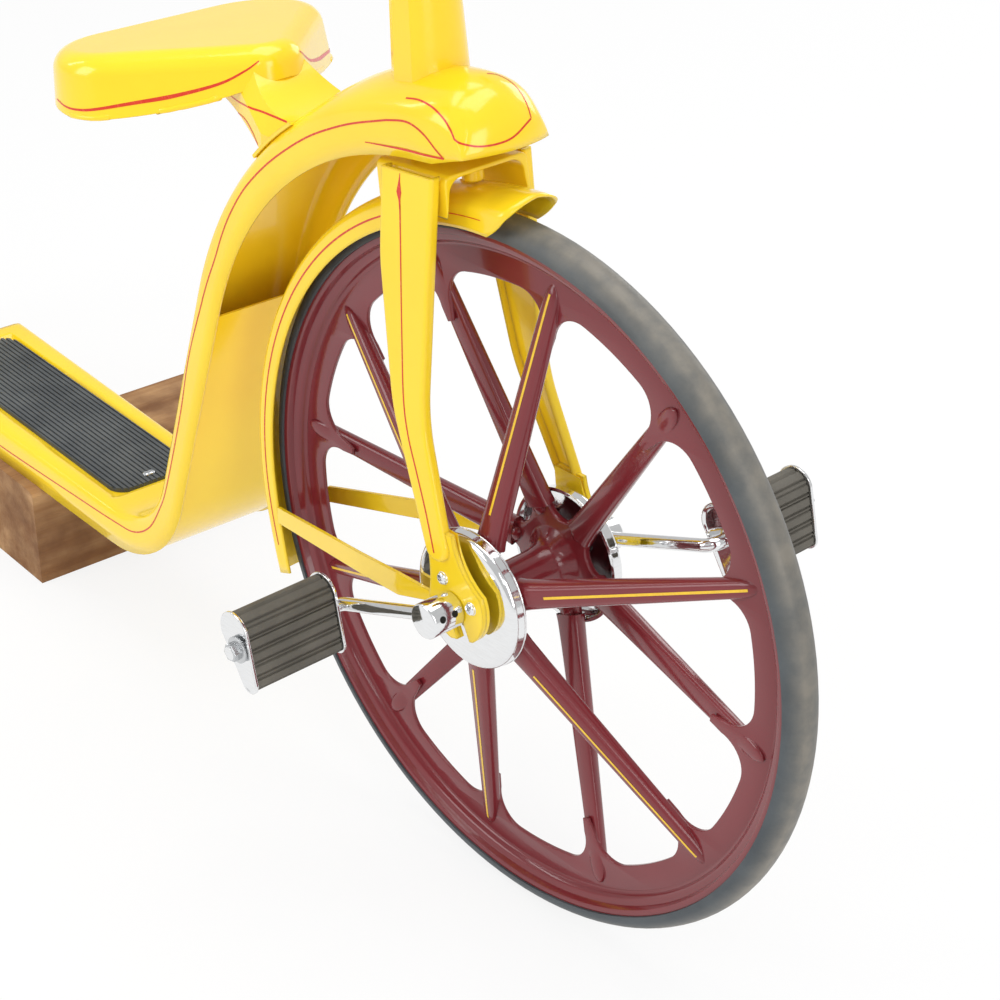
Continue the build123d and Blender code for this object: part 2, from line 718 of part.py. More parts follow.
def blade_outline(inset):
    """Front and rear edges of the blade in its leaning plane, moved in by the inset, round at the foot."""
    x = front_axle_x
    mid = (blade_mid_z - blade_low_z) / cos(lean)
    high = (blade_high_z - blade_low_z) / cos(lean)
    top = (crown_top_z - blade_low_z) / cos(lean) + overrun
    with BuildSketch() as outline:
        with BuildLine():
            Polyline((blade_low_rear_x - x, 0), (blade_mid_rear_x - x, mid), (blade_high_rear_x - x, high),
                     (blade_top_rear_x - x, top), (blade_top_front_x - x, top),
                     (blade_high_front_x - x, high), (blade_mid_front_x - x, mid),
                     (blade_low_front_x - x, 0), close=True)
        make_face()
        bends = outline.vertices().sort_by(Axis.Y)[2:6]
        fillet(bends, blade_bend_radius)
        fillet(outline.vertices().sort_by(Axis.Y)[:2], blade_end_radius)
        if inset:
            offset(amount=-inset, mode=Mode.REPLACE)
    return outline.sketch


with BuildPart() as fork_leg_right:
    add(extrude(blade_outline(0).moved(blade_plane.location), amount=blade_depth, mode=Mode.PRIVATE))
    split(bisect_by=crown_top, keep=Keep.BOTTOM)
    rim = fork_leg_right.faces().sort_by(Axis.Y)[0].edges()
    fillet(rim, blade_edge)
    add(extrude(blade_outline(blade_wall).moved(blade_plane.location), amount=blade_depth - blade_wall,
                mode=Mode.PRIVATE), mode=Mode.SUBTRACT)
    extrude(claw_outline().moved(Location((0, -claw_inner_y, 0))), amount=claw_thickness)
save(fork_leg_right.part, "fork_leg_right", turned=True)
save(fork_leg_right.part.mirror(Plane.XZ), "fork_leg_left", turned=True)

# Crown bracket: a bent plate between the legs, open in front and behind, with a boss for the fender's bolt
def crown_bar(inset, cut_drop, beyond):
    """The room between the legs' leaning faces under the crown's top plane, moved in by the inset."""
    foot_z = crown_top_z - crown_height - beyond
    half_at = blade_inner_top_y - running_gap - inset / cos(lean)
    foot_half = half_at + (crown_height + beyond) * tan(lean)
    head_half = half_at - overrun * tan(lean)
    rear_x = crown_centre.X - crown_behind - beyond
    with BuildPart() as bar:
        with BuildSketch(Plane(origin=(rear_x, 0, 0), x_dir=(0, 1, 0), z_dir=(1, 0, 0))):
            with BuildLine():
                Polyline((-foot_half, foot_z), (foot_half, foot_z), (head_half, crown_top_z + overrun),
                         (-head_half, crown_top_z + overrun), close=True)
            make_face()
        extrude(amount=crown_behind + crown_ahead + 2 * beyond)
        split(bisect_by=crown_top.offset(-cut_drop), keep=Keep.BOTTOM)
    return bar.part


with BuildPart() as fork_crown:
    add(crown_bar(0, 0, 0))
    add(crown_bar(crown_plate, crown_plate, overrun), mode=Mode.SUBTRACT)
    boss_angle = radians(fender_boss_angle)
    boss_from = front_wheel_radius + fender_crown_clear + fender_sheet + running_gap
    boss_dir = Vector(cos(boss_angle), 0, sin(boss_angle))
    boss_plane = Plane(origin=Vector(wheel_plane.origin) + boss_dir * boss_from, x_dir=(0, 1, 0),
                       z_dir=boss_dir)
    with BuildSketch(boss_plane):
        Circle(fender_boss_radius)
    extrude(amount=fender_boss_length)
save(fork_crown.part, "fork_crown", turned=True)

# Steering stem with its neck and handlebar clamp
stem_top = Vector(steer_axis.position) + steer_dir * stem_top_rise
clamp_centre = stem_top + crown_forward * neck_reach - steer_dir * clamp_radius
stem_from = crown_centre + steer_dir * running_gap
clamp_plane = Plane(origin=clamp_centre, x_dir=crown_forward, z_dir=(0, -1, 0))
with BuildPart() as steering_stem:
    with BuildSketch(Plane(origin=stem_from, x_dir=(0, 1, 0), z_dir=steer_dir)):
        Circle(stem_radius)
    extrude(amount=(stem_top - stem_from).length)
    with BuildSketch(Plane(origin=stem_top - steer_dir * clamp_radius, x_dir=(0, 1, 0), z_dir=crown_forward)):
        SlotOverall(2 * clamp_radius, neck_width, rotation=90)
    extrude(amount=neck_reach)
    with Locations(clamp_plane):
        Cylinder(clamp_radius, clamp_width)
        Cylinder(handlebar_radius + running_gap, clamp_width + overrun, mode=Mode.SUBTRACT)
save(steering_stem.part, "steering_stem", turned=True)

# Handlebar, one tube bent up and back to the grips
with BuildPart() as handlebar:
    centre = Vector(clamp_centre)
    rise = steer_dir * bar_rise
    back = crown_forward * -bar_sweep
    right = Vector(0, -1, 0)
    half_path = (
        centre + right * bar_centre_half,
        centre + right * bar_bend_half + rise * bar_bend_rise_share,
        centre + right * bar_end_half * bar_shoulder_half_share + rise + back * bar_shoulder_back_share,
        centre + right * bar_end_half + rise + back,
    )
    path_points = [*reversed(half_path), *(Vector(p.X, -p.Y, p.Z) for p in half_path)]
    with BuildLine() as bar_path:
        FilletPolyline(*path_points, radius=bar_bend_radius)
    bar_end = Plane(origin=bar_path.line @ 0, z_dir=bar_path.line % 0)
    with BuildSketch(bar_end):
        Circle(handlebar_radius)
        Circle(handlebar_radius - handlebar_wall, mode=Mode.SUBTRACT)
    sweep()
save(handlebar.part, "handlebar", turned=True)

# Grip, a rubber sleeve with a flange at its inner end and a closed outer end
with BuildPart() as grip_right:
    with BuildSketch(bar_end.offset(-grip_flange)):
        Circle(grip_radius)
    extrude(amount=grip_flange + grip_length)
    with BuildSketch(bar_end.offset(grip_length - grip_flange)):
        Circle(grip_flange_radius)
    extrude(amount=grip_flange)
    fillet(grip_right.edges().filter_by(GeomType.CIRCLE), grip_edge)
    with BuildSketch(bar_end.offset(-running_gap)):
        Circle(handlebar_radius + running_gap)
    extrude(amount=grip_length + overrun, mode=Mode.SUBTRACT)
save(grip_right.part, "grip_right", turned=True)
save(grip_right.part.mirror(Plane.XZ), "grip_left", turned=True)

# Head tube in the channel, cut to the underside of the cover
with BuildPart() as head_tube:
    with BuildSketch(Plane(origin=crown_centre + steer_dir * seat_gap, x_dir=(0, 1, 0), z_dir=steer_dir)):
        Circle(head_tube_radius)
        Circle(stem_radius + running_gap, mode=Mode.SUBTRACT)
    extrude(amount=channel_depth + overrun)
    add(channel_solid(sheet + running_gap, overrun, crease_inner_radius), mode=Mode.INTERSECT)
save(head_tube.part, "head_tube")


def shroud_section(wide, deep):
    """Shroud's section, along X then Y: a round nose, a crease on each side and a narrower flat back."""
    crease_x = shroud_crease_share * deep - deep / 2
    nose_x = shroud_nose_share * deep
    back_half = wide * (1 - shroud_crease_share) / 2
    with BuildSketch() as section:
        with BuildLine():
            Polyline((nose_x, -wide / 2), (crease_x, -wide / 2), (-deep / 2, -back_half),
                     (-deep / 2, back_half), (crease_x, wide / 2), (nose_x, wide / 2))
            ThreePointArc((nose_x, wide / 2), (deep / 2, 0), (nose_x, -wide / 2))
        make_face()
    return section.sketch


def shroud_solid(inset, from_rise, to_rise):
    """The shroud's tapered form between two heights along the steering axis."""
    with BuildPart() as form:
        for rise in (from_rise, to_rise):
            share = rise / shroud_height
            wide = shroud_base_width + (shroud_top_width - shroud_base_width) * share - 2 * inset
            deep = shroud_base_length + (shroud_top_length - shroud_base_length) * share - 2 * inset
            centre = Vector(steer_axis.position) + steer_dir * rise + crown_forward * shroud_ahead
            at = Plane(origin=centre, x_dir=crown_forward, z_dir=steer_dir)
            add(at * shroud_section(wide, deep))
        loft()
    return form.part


# Tapered column shroud, closed at the top round the stem and welded to the cover below
with BuildPart() as column_shroud:
    add(shroud_solid(0, -shroud_bury, shroud_height))
    add(shroud_solid(shroud_wall, -shroud_bury - sheet, shroud_height - shroud_cap), mode=Mode.SUBTRACT)
    add(channel_solid(-running_gap, 0, crease_radius), mode=Mode.SUBTRACT)
    with BuildSketch(Plane(origin=steer_axis.position, x_dir=(0, 1, 0), z_dir=steer_dir)):
        Circle(stem_radius + running_gap)
    extrude(amount=shroud_height + overrun, mode=Mode.SUBTRACT)
save(column_shroud.part, "column_shroud")


def fender(axle_x, radius, clear, half, lip_drop, shoulder, wall, start, end):
    """Curved guard round a wheel between two angles, measured up from straight ahead."""
    crown = radius + clear + wall
    lip = radius - lip_drop
    begin = radians(start)
    across = Plane(origin=(axle_x, 0, radius), x_dir=(0, 1, 0), z_dir=(sin(begin), 0, -cos(begin)))
    with BuildPart() as guard:
        with BuildSketch(across):
            with BuildLine():
                Line((-half, lip), (-half, crown - shoulder))
                ThreePointArc((-half, crown - shoulder), (0, crown), (half, crown - shoulder))
                Line((half, crown - shoulder), (half, lip))
                Line((half, lip), (half - wall, lip))
                Line((half - wall, lip), (half - wall, crown - shoulder - wall / 2))
                ThreePointArc((half - wall, crown - shoulder - wall / 2), (0, crown - wall),
                              (wall - half, crown - shoulder - wall / 2))
                Line((wall - half, crown - shoulder - wall / 2), (wall - half, lip))
                Line((wall - half, lip), (-half, lip))
            make_face()
        revolve(axis=Axis((axle_x, 0, radius), (0, -1, 0)), revolution_arc=end - start)
    return guard.part


# Front fender, its front end cut back along the sides
with BuildPart() as front_fender:
    add(fender(front_axle_x + fender_ahead, front_wheel_radius, fender_crown_clear, fender_half_width,
               fender_lip_drop, fender_shoulder, fender_sheet, fender_front_angle, fender_rear_angle))
    lip = on_bend(front_axle_x, front_wheel_radius, front_wheel_radius - fender_lip_drop,
                  radians(fender_lip_front_angle))
    tip = on_bend(front_axle_x, front_wheel_radius, front_wheel_radius + fender_crown_clear + fender_sheet,
                  radians(fender_front_angle))
    ahead_x = tip[0] + overrun
    under_z = lip[1] - overrun
    with BuildSketch(Plane.XZ):
        with BuildLine():
            Polyline(lip, tip, (ahead_x, tip[1]), (ahead_x, under_z), (lip[0], under_z), close=True)
        make_face()
    extrude(amount=fender_half_width + overrun, both=True, mode=Mode.SUBTRACT)
save(front_fender.part, "front_fender", turned=True)

# Fender stay: a strip bent outward from the fender's side, ending in a plate of the claw's outline behind it
stay_outer_y = claw_inner_y - running_gap
stay_fender_y = fender_half_width + running_gap + stay_thickness
with BuildPart() as fender_stay_right:
    with BuildSketch(Plane.XY):
        with BuildLine():
            FilletPolyline((stay_fender_x, -stay_fender_y), (stay_bend_x, -stay_bend_y),
                           (stay_straight_x, -stay_outer_y), (front_axle_x + claw_top_drop, -stay_outer_y),
                           radius=stay_bend_radius)
            offset(amount=stay_thickness, side=Side.LEFT)
        make_face()
    extrude(amount=front_wheel_radius + claw_top_drop)
    with BuildSketch(Plane.XZ):
        with BuildLine():
            Polyline((stay_fender_x, stay_fender_z - stay_height / 2),
                     (stay_fender_x, stay_fender_z + stay_height / 2),
                     (stay_straight_x, stay_claw_z + stay_end_height / 2),
                     (front_axle_x, front_wheel_radius),
                     (stay_straight_x, stay_claw_z - stay_end_height / 2), close=True)
        make_face()
        add(claw_outline())
        with Locations((front_axle_x, front_wheel_radius)):
            Circle(slot_width / 2, mode=Mode.SUBTRACT)
    extrude(amount=claw_inner_y + overrun, mode=Mode.INTERSECT)
    split(bisect_by=blade_plane.offset(-running_gap), keep=Keep.BOTTOM)
save(fender_stay_right.part, "fender_stay_right", turned=True)
save(fender_stay_right.part.mirror(Plane.XZ), "fender_stay_left", turned=True)

# Rear fender, standing on the footboard's rear edge
with BuildPart() as rear_fender:
    rear_crown = rear_axle_x - footboard_rear_x
    rear_clear = -rear_crown - running_gap - rear_fender_sheet - rear_wheel_radius
    add(fender(rear_axle_x, rear_wheel_radius, rear_clear, rear_fender_half_width, rear_fender_drop,
               fender_shoulder, rear_fender_sheet, rear_fender_start_angle, rear_fender_end_angle))
save(rear_fender.part, "rear_fender")

# Rear fork: a cross plate on the footboard's rear wall and an arm on each side back to the axle
with BuildPart() as rear_fork:
    low_z = footboard_z + sheet
    high_z = cover_z - sheet
    plate_x = footboard_rear_x - running_gap
    with BuildSketch(Plane.XZ):
        with BuildLine():
            Polyline((plate_x, low_z), (plate_x, high_z),
                     (rear_axle_x, rear_wheel_radius + rear_fork_eye_radius),
                     (rear_axle_x, rear_wheel_radius - rear_fork_eye_radius), close=True)
        make_face()
        with Locations((rear_axle_x, rear_wheel_radius)):
            Circle(rear_fork_eye_radius)
            Circle(rear_axle_radius + running_gap, mode=Mode.SUBTRACT)
    extrude(amount=rear_arm_outer_y, both=True)
    inner_y = rear_arm_outer_y - rear_fork_thickness
    arm_length = plate_x - rear_axle_x + rear_fork_eye_radius + overrun
    with BuildSketch(Plane.XY):
        with Locations((plate_x - rear_fork_thickness, 0)):
            Rectangle(arm_length, 2 * inner_y, align=(Align.MAX, Align.CENTER))
    extrude(amount=rear_wheel_radius + rear_fork_eye_radius + overrun, mode=Mode.SUBTRACT)
save(rear_fork.part, "rear_fork")

# Rear axle with a nut at each end
with BuildPart() as rear_axle:
    nut_from = rear_fender_half_width + running_gap
    with BuildSketch(rear_plane.offset(-nut_from - rear_nut_length - rear_axle_stub)):
        Circle(rear_axle_radius)
    extrude(amount=2 * (nut_from + rear_nut_length + rear_axle_stub))
    for start in (nut_from, -nut_from - rear_nut_length):
        with BuildSketch(rear_plane.offset(start)):
            RegularPolygon(rear_nut_radius, 6)
        extrude(amount=rear_nut_length)
save(rear_axle.part, "rear_axle")

# Saddle pan, pressed from sheet: a rounded triangle in plan with a deep skirt cut higher at the nose
tilt = radians(saddle_tilt)
saddle_plane = Plane(origin=(saddle_nose_x, 0, saddle_nose_z), x_dir=(cos(tilt), 0, sin(tilt)),
                     z_dir=(-sin(tilt), 0, cos(tilt)))


def saddle_form(inset):
    """The pan's outer form, solid, moved in by the inset."""
    with BuildPart() as form:
        with BuildSketch(saddle_plane.offset(-inset)):
            with Locations((-saddle_nose_radius, 0)):
                Circle(saddle_nose_radius - inset)
            with Locations((-saddle_lobe_back, saddle_lobe_half), (-saddle_lobe_back, -saddle_lobe_half)):
                Circle(saddle_lobe_radius - inset)
            make_hull()
        extrude(amount=-saddle_depth, taper=-saddle_draft)
        fillet(form.faces().sort_by(Axis.Z)[-1].edges(), saddle_edge - inset)
    return form.part


with BuildPart() as saddle_pan:
    add(saddle_form(0))
    add(saddle_form(saddle_sheet), mode=Mode.SUBTRACT)
    low_z = saddle_hem_rear_z - saddle_depth
    ahead_x = saddle_hem_front_x + saddle_depth
    behind_x = saddle_nose_x - saddle_lobe_back - 2 * saddle_lobe_radius
    with BuildSketch(Plane.XZ):
        with BuildLine():
            ThreePointArc((saddle_hem_rear_x, saddle_hem_rear_z), (saddle_hem_mid_x, saddle_hem_mid_z),
                          (saddle_hem_front_x, saddle_hem_front_z))
            Polyline((saddle_hem_front_x, saddle_hem_front_z), (ahead_x, saddle_hem_front_z),
                     (ahead_x, low_z), (behind_x, low_z), (behind_x, saddle_hem_rear_z),
                     (saddle_hem_rear_x, saddle_hem_rear_z))
        make_face()
    extrude(amount=saddle_lobe_half + 2 * saddle_lobe_radius, both=True, mode=Mode.SUBTRACT)
save(saddle_pan.part, "saddle_pan")

# Saddle bracket: a foot that follows the cover and a hollow pressed arm, narrower towards the pan
foot_radius = cover_radius + running_gap


def on_cover(radius, angle):
    return on_bend(upper_bend_x, upper_bend_z, radius, radians(angle))


def bracket_arm(inset, belly_drop):
    """The arm's form moved in by the inset, its open belly moved down by belly_drop."""
    top_z = saddle_nose_z - saddle_sheet - running_gap
    slope = tan(tilt)
    front_top = (bracket_top_front_x - inset, top_z - inset - (saddle_nose_x - bracket_top_front_x) * slope)
    rear_top = (bracket_top_rear_x, top_z - inset - (saddle_nose_x - bracket_top_rear_x) * slope)
    rear_low = (bracket_top_rear_x, bracket_belly_z + bracket_sheet - belly_drop)
    rear_x = bracket_top_rear_x - overrun
    foot_front = on_cover(foot_radius, bracket_arm_front_angle)
    foot_rear = on_cover(foot_radius - belly_drop, bracket_arm_rear_angle)
    base_half = bracket_half_base - inset
    tip_half = bracket_half_top - inset
    with BuildPart() as arm:
        with BuildSketch(Plane.XZ):
            with BuildLine():
                Line(rear_top, front_top)
                ThreePointArc(front_top, (bracket_throat_x, bracket_throat_z - inset), foot_front)
                Line(foot_front, foot_rear)
                ThreePointArc(foot_rear, (bracket_belly_x, bracket_belly_z - belly_drop), rear_low)
                Line(rear_low, rear_top)
            make_face()
        extrude(amount=bracket_half_base, both=True)
        with BuildSketch(Plane.XY):
            with BuildLine():
                Polyline((foot_front[0] + overrun, -base_half), (foot_front[0] + overrun, base_half),
                         (foot_rear[0], base_half), (rear_x, tip_half), (rear_x, -tip_half),
                         (foot_rear[0], -base_half), close=True)
            make_face()
        extrude(amount=saddle_nose_z, mode=Mode.INTERSECT)
        with BuildSketch(Plane.YZ):
            with BuildLine():
                Polyline((-base_half, 0), (base_half, 0), (base_half, bracket_belly_z), (tip_half, top_z),
                         (-tip_half, top_z), (-base_half, bracket_belly_z), close=True)
            make_face()
        extrude(amount=upper_bend_x, mode=Mode.INTERSECT)
    return arm.part


with BuildPart() as saddle_bracket:
    add(bracket_arm(0, 0))
    with BuildSketch(Plane.XZ):
        with BuildLine():
            front_in = on_cover(foot_radius, bracket_foot_front_angle)
            rear_in = on_cover(foot_radius, bracket_foot_rear_angle)
            front_out = on_cover(foot_radius + bracket_sheet, bracket_foot_front_angle)
            rear_out = on_cover(foot_radius + bracket_sheet, bracket_foot_rear_angle)
            mid_angle = (bracket_foot_front_angle + bracket_foot_rear_angle) / 2
            ThreePointArc(front_in, on_cover(foot_radius, mid_angle), rear_in)
            Line(rear_in, rear_out)
            ThreePointArc(rear_out, on_cover(foot_radius + bracket_sheet, mid_angle), front_out)
            Line(front_out, front_in)
        make_face()
    extrude(amount=bracket_foot_half_width, both=True)
    add(bracket_arm(bracket_sheet, overrun), mode=Mode.SUBTRACT)
    with Locations(Plane(origin=(upper_bend_x, 0, upper_bend_z), x_dir=(1, 0, 0), z_dir=(0, -1, 0))):
        Cylinder(foot_radius, 2 * (bracket_foot_half_width + overrun), mode=Mode.SUBTRACT)
save(saddle_bracket.part, "saddle_bracket")
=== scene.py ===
import json
from collections import namedtuple
from math import acos, asin, atan2, cos, pi, radians, sin, tau

import bmesh
import bpy
from mathutils import Matrix, Vector
from mathutils.bvhtree import BVHTree


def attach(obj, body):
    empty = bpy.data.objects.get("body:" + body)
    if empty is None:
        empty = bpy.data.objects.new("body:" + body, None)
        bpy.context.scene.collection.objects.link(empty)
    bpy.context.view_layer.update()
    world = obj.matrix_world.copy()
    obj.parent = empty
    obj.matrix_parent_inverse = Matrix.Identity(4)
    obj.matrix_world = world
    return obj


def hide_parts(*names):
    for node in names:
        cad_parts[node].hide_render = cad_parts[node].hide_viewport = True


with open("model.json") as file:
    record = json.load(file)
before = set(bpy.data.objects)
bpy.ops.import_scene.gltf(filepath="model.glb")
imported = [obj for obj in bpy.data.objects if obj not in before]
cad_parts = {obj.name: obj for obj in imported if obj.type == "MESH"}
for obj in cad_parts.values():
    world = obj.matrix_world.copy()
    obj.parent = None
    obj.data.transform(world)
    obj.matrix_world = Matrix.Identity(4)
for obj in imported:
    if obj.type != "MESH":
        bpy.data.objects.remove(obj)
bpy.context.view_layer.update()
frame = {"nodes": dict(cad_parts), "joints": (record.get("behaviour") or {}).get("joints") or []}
nodes = frame["nodes"]
joints = {joint["name"]: joint for joint in frame["joints"]}

# Camera. It stands to the front right, a little above the saddle, and looks down on the front wheel,
# which fills most of the picture. It is placed from the wheel's centre, in metres.
wheel_centre = Vector(joints["front_wheel_spin"]["pos_m"])
camera_turn = radians(50.9)
camera_climb = radians(30.13)
camera_aside = -0.01374
camera_above = 0.04999
camera_distance = 1.5047
picture_width = 1000
focal_pixels = 2270.5
sensor_width = 36
camera_right = Vector((cos(camera_turn), sin(camera_turn), 0))
camera_back = Vector((sin(camera_turn) * cos(camera_climb), -cos(camera_turn) * cos(camera_climb),
                      sin(camera_climb)))
camera_up = camera_back.cross(camera_right)
camera_at = (wheel_centre + camera_aside * camera_right + camera_above * camera_up
             + camera_distance * camera_back)

camera_data = bpy.data.cameras.new("photo_camera")
camera_data.sensor_width = sensor_width
camera_data.lens = sensor_width * focal_pixels / picture_width
camera = bpy.data.objects.new("photo_camera", camera_data)
camera_axes = Matrix((camera_right, camera_up, camera_back)).transposed()
camera.matrix_world = Matrix.Translation(camera_at) @ camera_axes.to_4x4()
bpy.context.scene.collection.objects.link(camera)
bpy.context.scene.camera = camera
bpy.context.scene.view_settings.view_transform = "Standard"


# Studio. A white floor that reads as one white ground and keeps a faint shadow, and a pale sky. A large
# soft box hangs overhead, one stands on each side and one behind, and two narrow strips draw long
# highlights on the enamel.
class Tone:
    """A number that varies over a surface. An expression on tones adds its Math nodes."""

    def __init__(self, tree, socket):
        self.tree = tree
        self.socket = socket

    def maths(self, operation, *values, clamp=False):
        node = self.tree.nodes.new("ShaderNodeMath")
        node.operation = operation
        node.use_clamp = clamp
        for place, value in enumerate(values):
            if isinstance(value, Tone):
                self.tree.links.new(value.socket, node.inputs[place])
            else:
                node.inputs[place].default_value = value
        return Tone(self.tree, node.outputs[0])

    def __add__(self, other):
        return self.maths("ADD", self, other)

    def __radd__(self, other):
        return self.maths("ADD", other, self)

    def __sub__(self, other):
        return self.maths("SUBTRACT", self, other)

    def __rsub__(self, other):
        return self.maths("SUBTRACT", other, self)

    def __mul__(self, other):
        return self.maths("MULTIPLY", self, other)

    def __rmul__(self, other):
        return self.maths("MULTIPLY", other, self)

    def __truediv__(self, other):
        return self.maths("DIVIDE", self, other)

    def above(self, low, high):
        """0 below low, 1 above high, even between."""
        return self.maths("MULTIPLY", self - low, 1 / (high - low), clamp=True)


class Finish:
    """One material, with its Principled surface and the places of its pattern in object coordinates."""

    def __init__(self, name, **constants):
        self.material = bpy.data.materials.new(name)
        self.material.use_nodes = True
        self.tree = self.material.node_tree
        self.surface = self.tree.nodes["Principled BSDF"]
        for socket, value in constants.items():
            self.surface.inputs[socket.replace("_", " ")].default_value = value
        self.place = self.node("ShaderNodeTexCoord").outputs["Object"]

    def plug(self, value, socket):
        """Gives a socket a tone, another node's socket or a plain value."""
        if isinstance(value, Tone):
            value = value.socket
        if isinstance(value, bpy.types.NodeSocket):
            self.tree.links.new(value, socket)
        else:
            socket.default_value = value

    def feed(self, socket, value):
        """Gives the surface something that varies."""
        self.plug(value, self.surface.inputs[socket])

    def node(self, kind, settings=None, **values):
        """A node of a kind. Its settings are set first, and then the values or links of its sockets."""
        node = self.tree.nodes.new(kind)
        for name, value in (settings or {}).items():
            setattr(node, name, value)
        for name, value in values.items():
            self.plug(value, node.inputs[name.replace("_", " ")])
        return node

    def stretched(self, scale, centre=(0, 0, 0), turn=(0, 0, 0)):
        """The object's coordinates from a centre, turned and scaled."""
        return self.node("ShaderNodeMapping", {"vector_type": "TEXTURE"}, Vector=self.place, Location=centre,
                         Rotation=turn, Scale=scale).outputs[0]

    def noise(self, scale, detail=3, roughness=0.55, place=None):
        node = self.node("ShaderNodeTexNoise", Vector=place or self.place, Scale=scale, Detail=detail,
                         Roughness=roughness)
        return Tone(self.tree, node.outputs["Fac"])

    def axis(self, letter, place=None):
        parts = self.node("ShaderNodeSeparateXYZ", Vector=place or self.place)
        return Tone(self.tree, parts.outputs[letter])

    def mix(self, share, first, second):
        """A colour between two colours, each a colour or another mix."""
        node = self.node("ShaderNodeMix", {"data_type": "RGBA"})
        factor, _, _, _, _, _, colour_a, colour_b = node.inputs[:8]
        for value, socket in ((share, factor), (first, colour_a), (second, colour_b)):
            self.plug(value, socket)
        _, _, colour = node.outputs[:3]
        return colour

    def rounded(self, radius):
        """The surface's normal as if its sharp edges were rounded."""
        return self.node("ShaderNodeBevel", {"samples": 4}, Radius=radius).outputs[0]

    def bump(self, height, depth, edge_radius=0.0006):
        node = self.node("ShaderNodeBump", Height=height, Distance=depth, Strength=1.0,
                         Normal=self.rounded(edge_radius))
        self.tree.links.new(node.outputs[0], self.surface.inputs["Normal"])

    def worn_edge(self, radius):
        """1 where the surface turns sharply within a radius, as on edges that get rubbed."""
        normal = self.node("ShaderNodeNewGeometry").outputs["Normal"]
        node = self.node("ShaderNodeVectorMath", {"operation": "DOT_PRODUCT"})
        self.tree.links.new(self.rounded(radius), node.inputs[0])
        self.tree.links.new(normal, node.inputs[1])
        return 1 - Tone(self.tree, node.outputs["Value"])


def grey(level):
    return (level, level, level, 1)


floor_half = 15.0
floor_grey = 0.86
floor_glow = 0.84
sky_strength = 0.62
floor_mesh = bpy.data.meshes.new("floor")
floor_corners = [(x * floor_half, y * floor_half, 0) for x, y in ((-1, -1), (1, -1), (1, 1), (-1, 1))]
floor_mesh.from_pydata(floor_corners, [], [(0, 1, 2, 3)])
floor = bpy.data.objects.new("floor", floor_mesh)
bpy.context.scene.collection.objects.link(floor)

ground = Finish("ground", Base_Color=grey(floor_grey), Roughness=0.9, Specular_IOR_Level=0.0)
path = ground.node("ShaderNodeLightPath")
seen = Tone(ground.tree, path.outputs["Is Camera Ray"]) + Tone(ground.tree, path.outputs["Is Glossy Ray"])
seen = seen + Tone(ground.tree, path.outputs["Is Transmission Ray"])
white = ground.node("ShaderNodeEmission", Color=grey(1.0), Strength=1.0)
blend = ground.node("ShaderNodeMixShader", Fac=seen.above(0, 1) * floor_glow)
ground.tree.links.new(ground.surface.outputs[0], blend.inputs[1])
ground.tree.links.new(white.outputs[0], blend.inputs[2])
ground.tree.links.new(blend.outputs[0], ground.tree.nodes["Material Output"].inputs["Surface"])
floor.data.materials.append(ground.material)

world = bpy.data.worlds.new("studio")
bpy.context.scene.world = world
world.use_nodes = True
sky = world.node_tree
sky_path = sky.nodes.new("ShaderNodeLightPath")
sky_light = sky.nodes["Background"]
sky_light.inputs["Color"].default_value = grey(1.0)
sky_light.inputs["Strength"].default_value = sky_strength
sky_seen = sky.nodes.new("ShaderNodeBackground")
sky_seen.inputs["Color"].default_value = grey(1.0)
sky_seen.inputs["Strength"].default_value = 1.0
sky_pick = sky.nodes.new("ShaderNodeMixShader")
sky.links.new(sky_path.outputs["Is Camera Ray"], sky_pick.inputs[0])
sky.links.new(sky_light.outputs[0], sky_pick.inputs[1])
sky.links.new(sky_seen.outputs[0], sky_pick.inputs[2])
sky.links.new(sky_pick.outputs[0], sky.nodes["World Output"].inputs["Surface"])

SoftBox = namedtuple("SoftBox", "place target width height watts")
soft_boxes = {
    "soft_box_over": SoftBox((0.3, 0.2, 2.6), (0.4, 0.0, 0.3), 1.8, 1.8, 30),
    "soft_box_left": SoftBox((-0.6, -2.6, 1.5), (0.4, 0.0, 0.4), 1.2, 1.6, 22),
    "soft_box_right": SoftBox((3.0, -0.6, 1.3), (0.4, 0.0, 0.3), 1.0, 1.8, 20),
    "soft_box_back": SoftBox((-0.2, 2.8, 1.4), (0.3, 0.0, 0.4), 1.4, 1.2, 14),
    "bright_strip_left": SoftBox((-1.9, -1.4, 2.0), (0.4, 0.0, 0.35), 0.22, 1.2, 5),
    "bright_strip_front": SoftBox((2.3, -2.0, 2.1), (0.4, 0.0, 0.35), 0.25, 1.0, 4),
}
for name, box in soft_boxes.items():
    lamp = bpy.data.lights.new(name, "AREA")
    lamp.shape = "RECTANGLE"
    lamp.size = box.width
    lamp.size_y = box.height
    lamp.energy = box.watts
    holder = bpy.data.objects.new(name, lamp)
    aim = (Vector(box.target) - Vector(box.place)).to_track_quat("-Z", "Y")
    holder.matrix_world = Matrix.Translation(box.place) @ aim.to_matrix().to_4x4()
    bpy.context.scene.collection.objects.link(holder)


# Timber beam: rough sawn softwood that carries the footboard, so that the scooter stands upright. Its
# grain runs along the beam, and it is stained dark in patches.
def put(finish, *names):
    """Gives CAD pieces their finish."""
    for name in names:
        nodes[name].data.materials.clear()
        nodes[name].data.materials.append(finish.material)


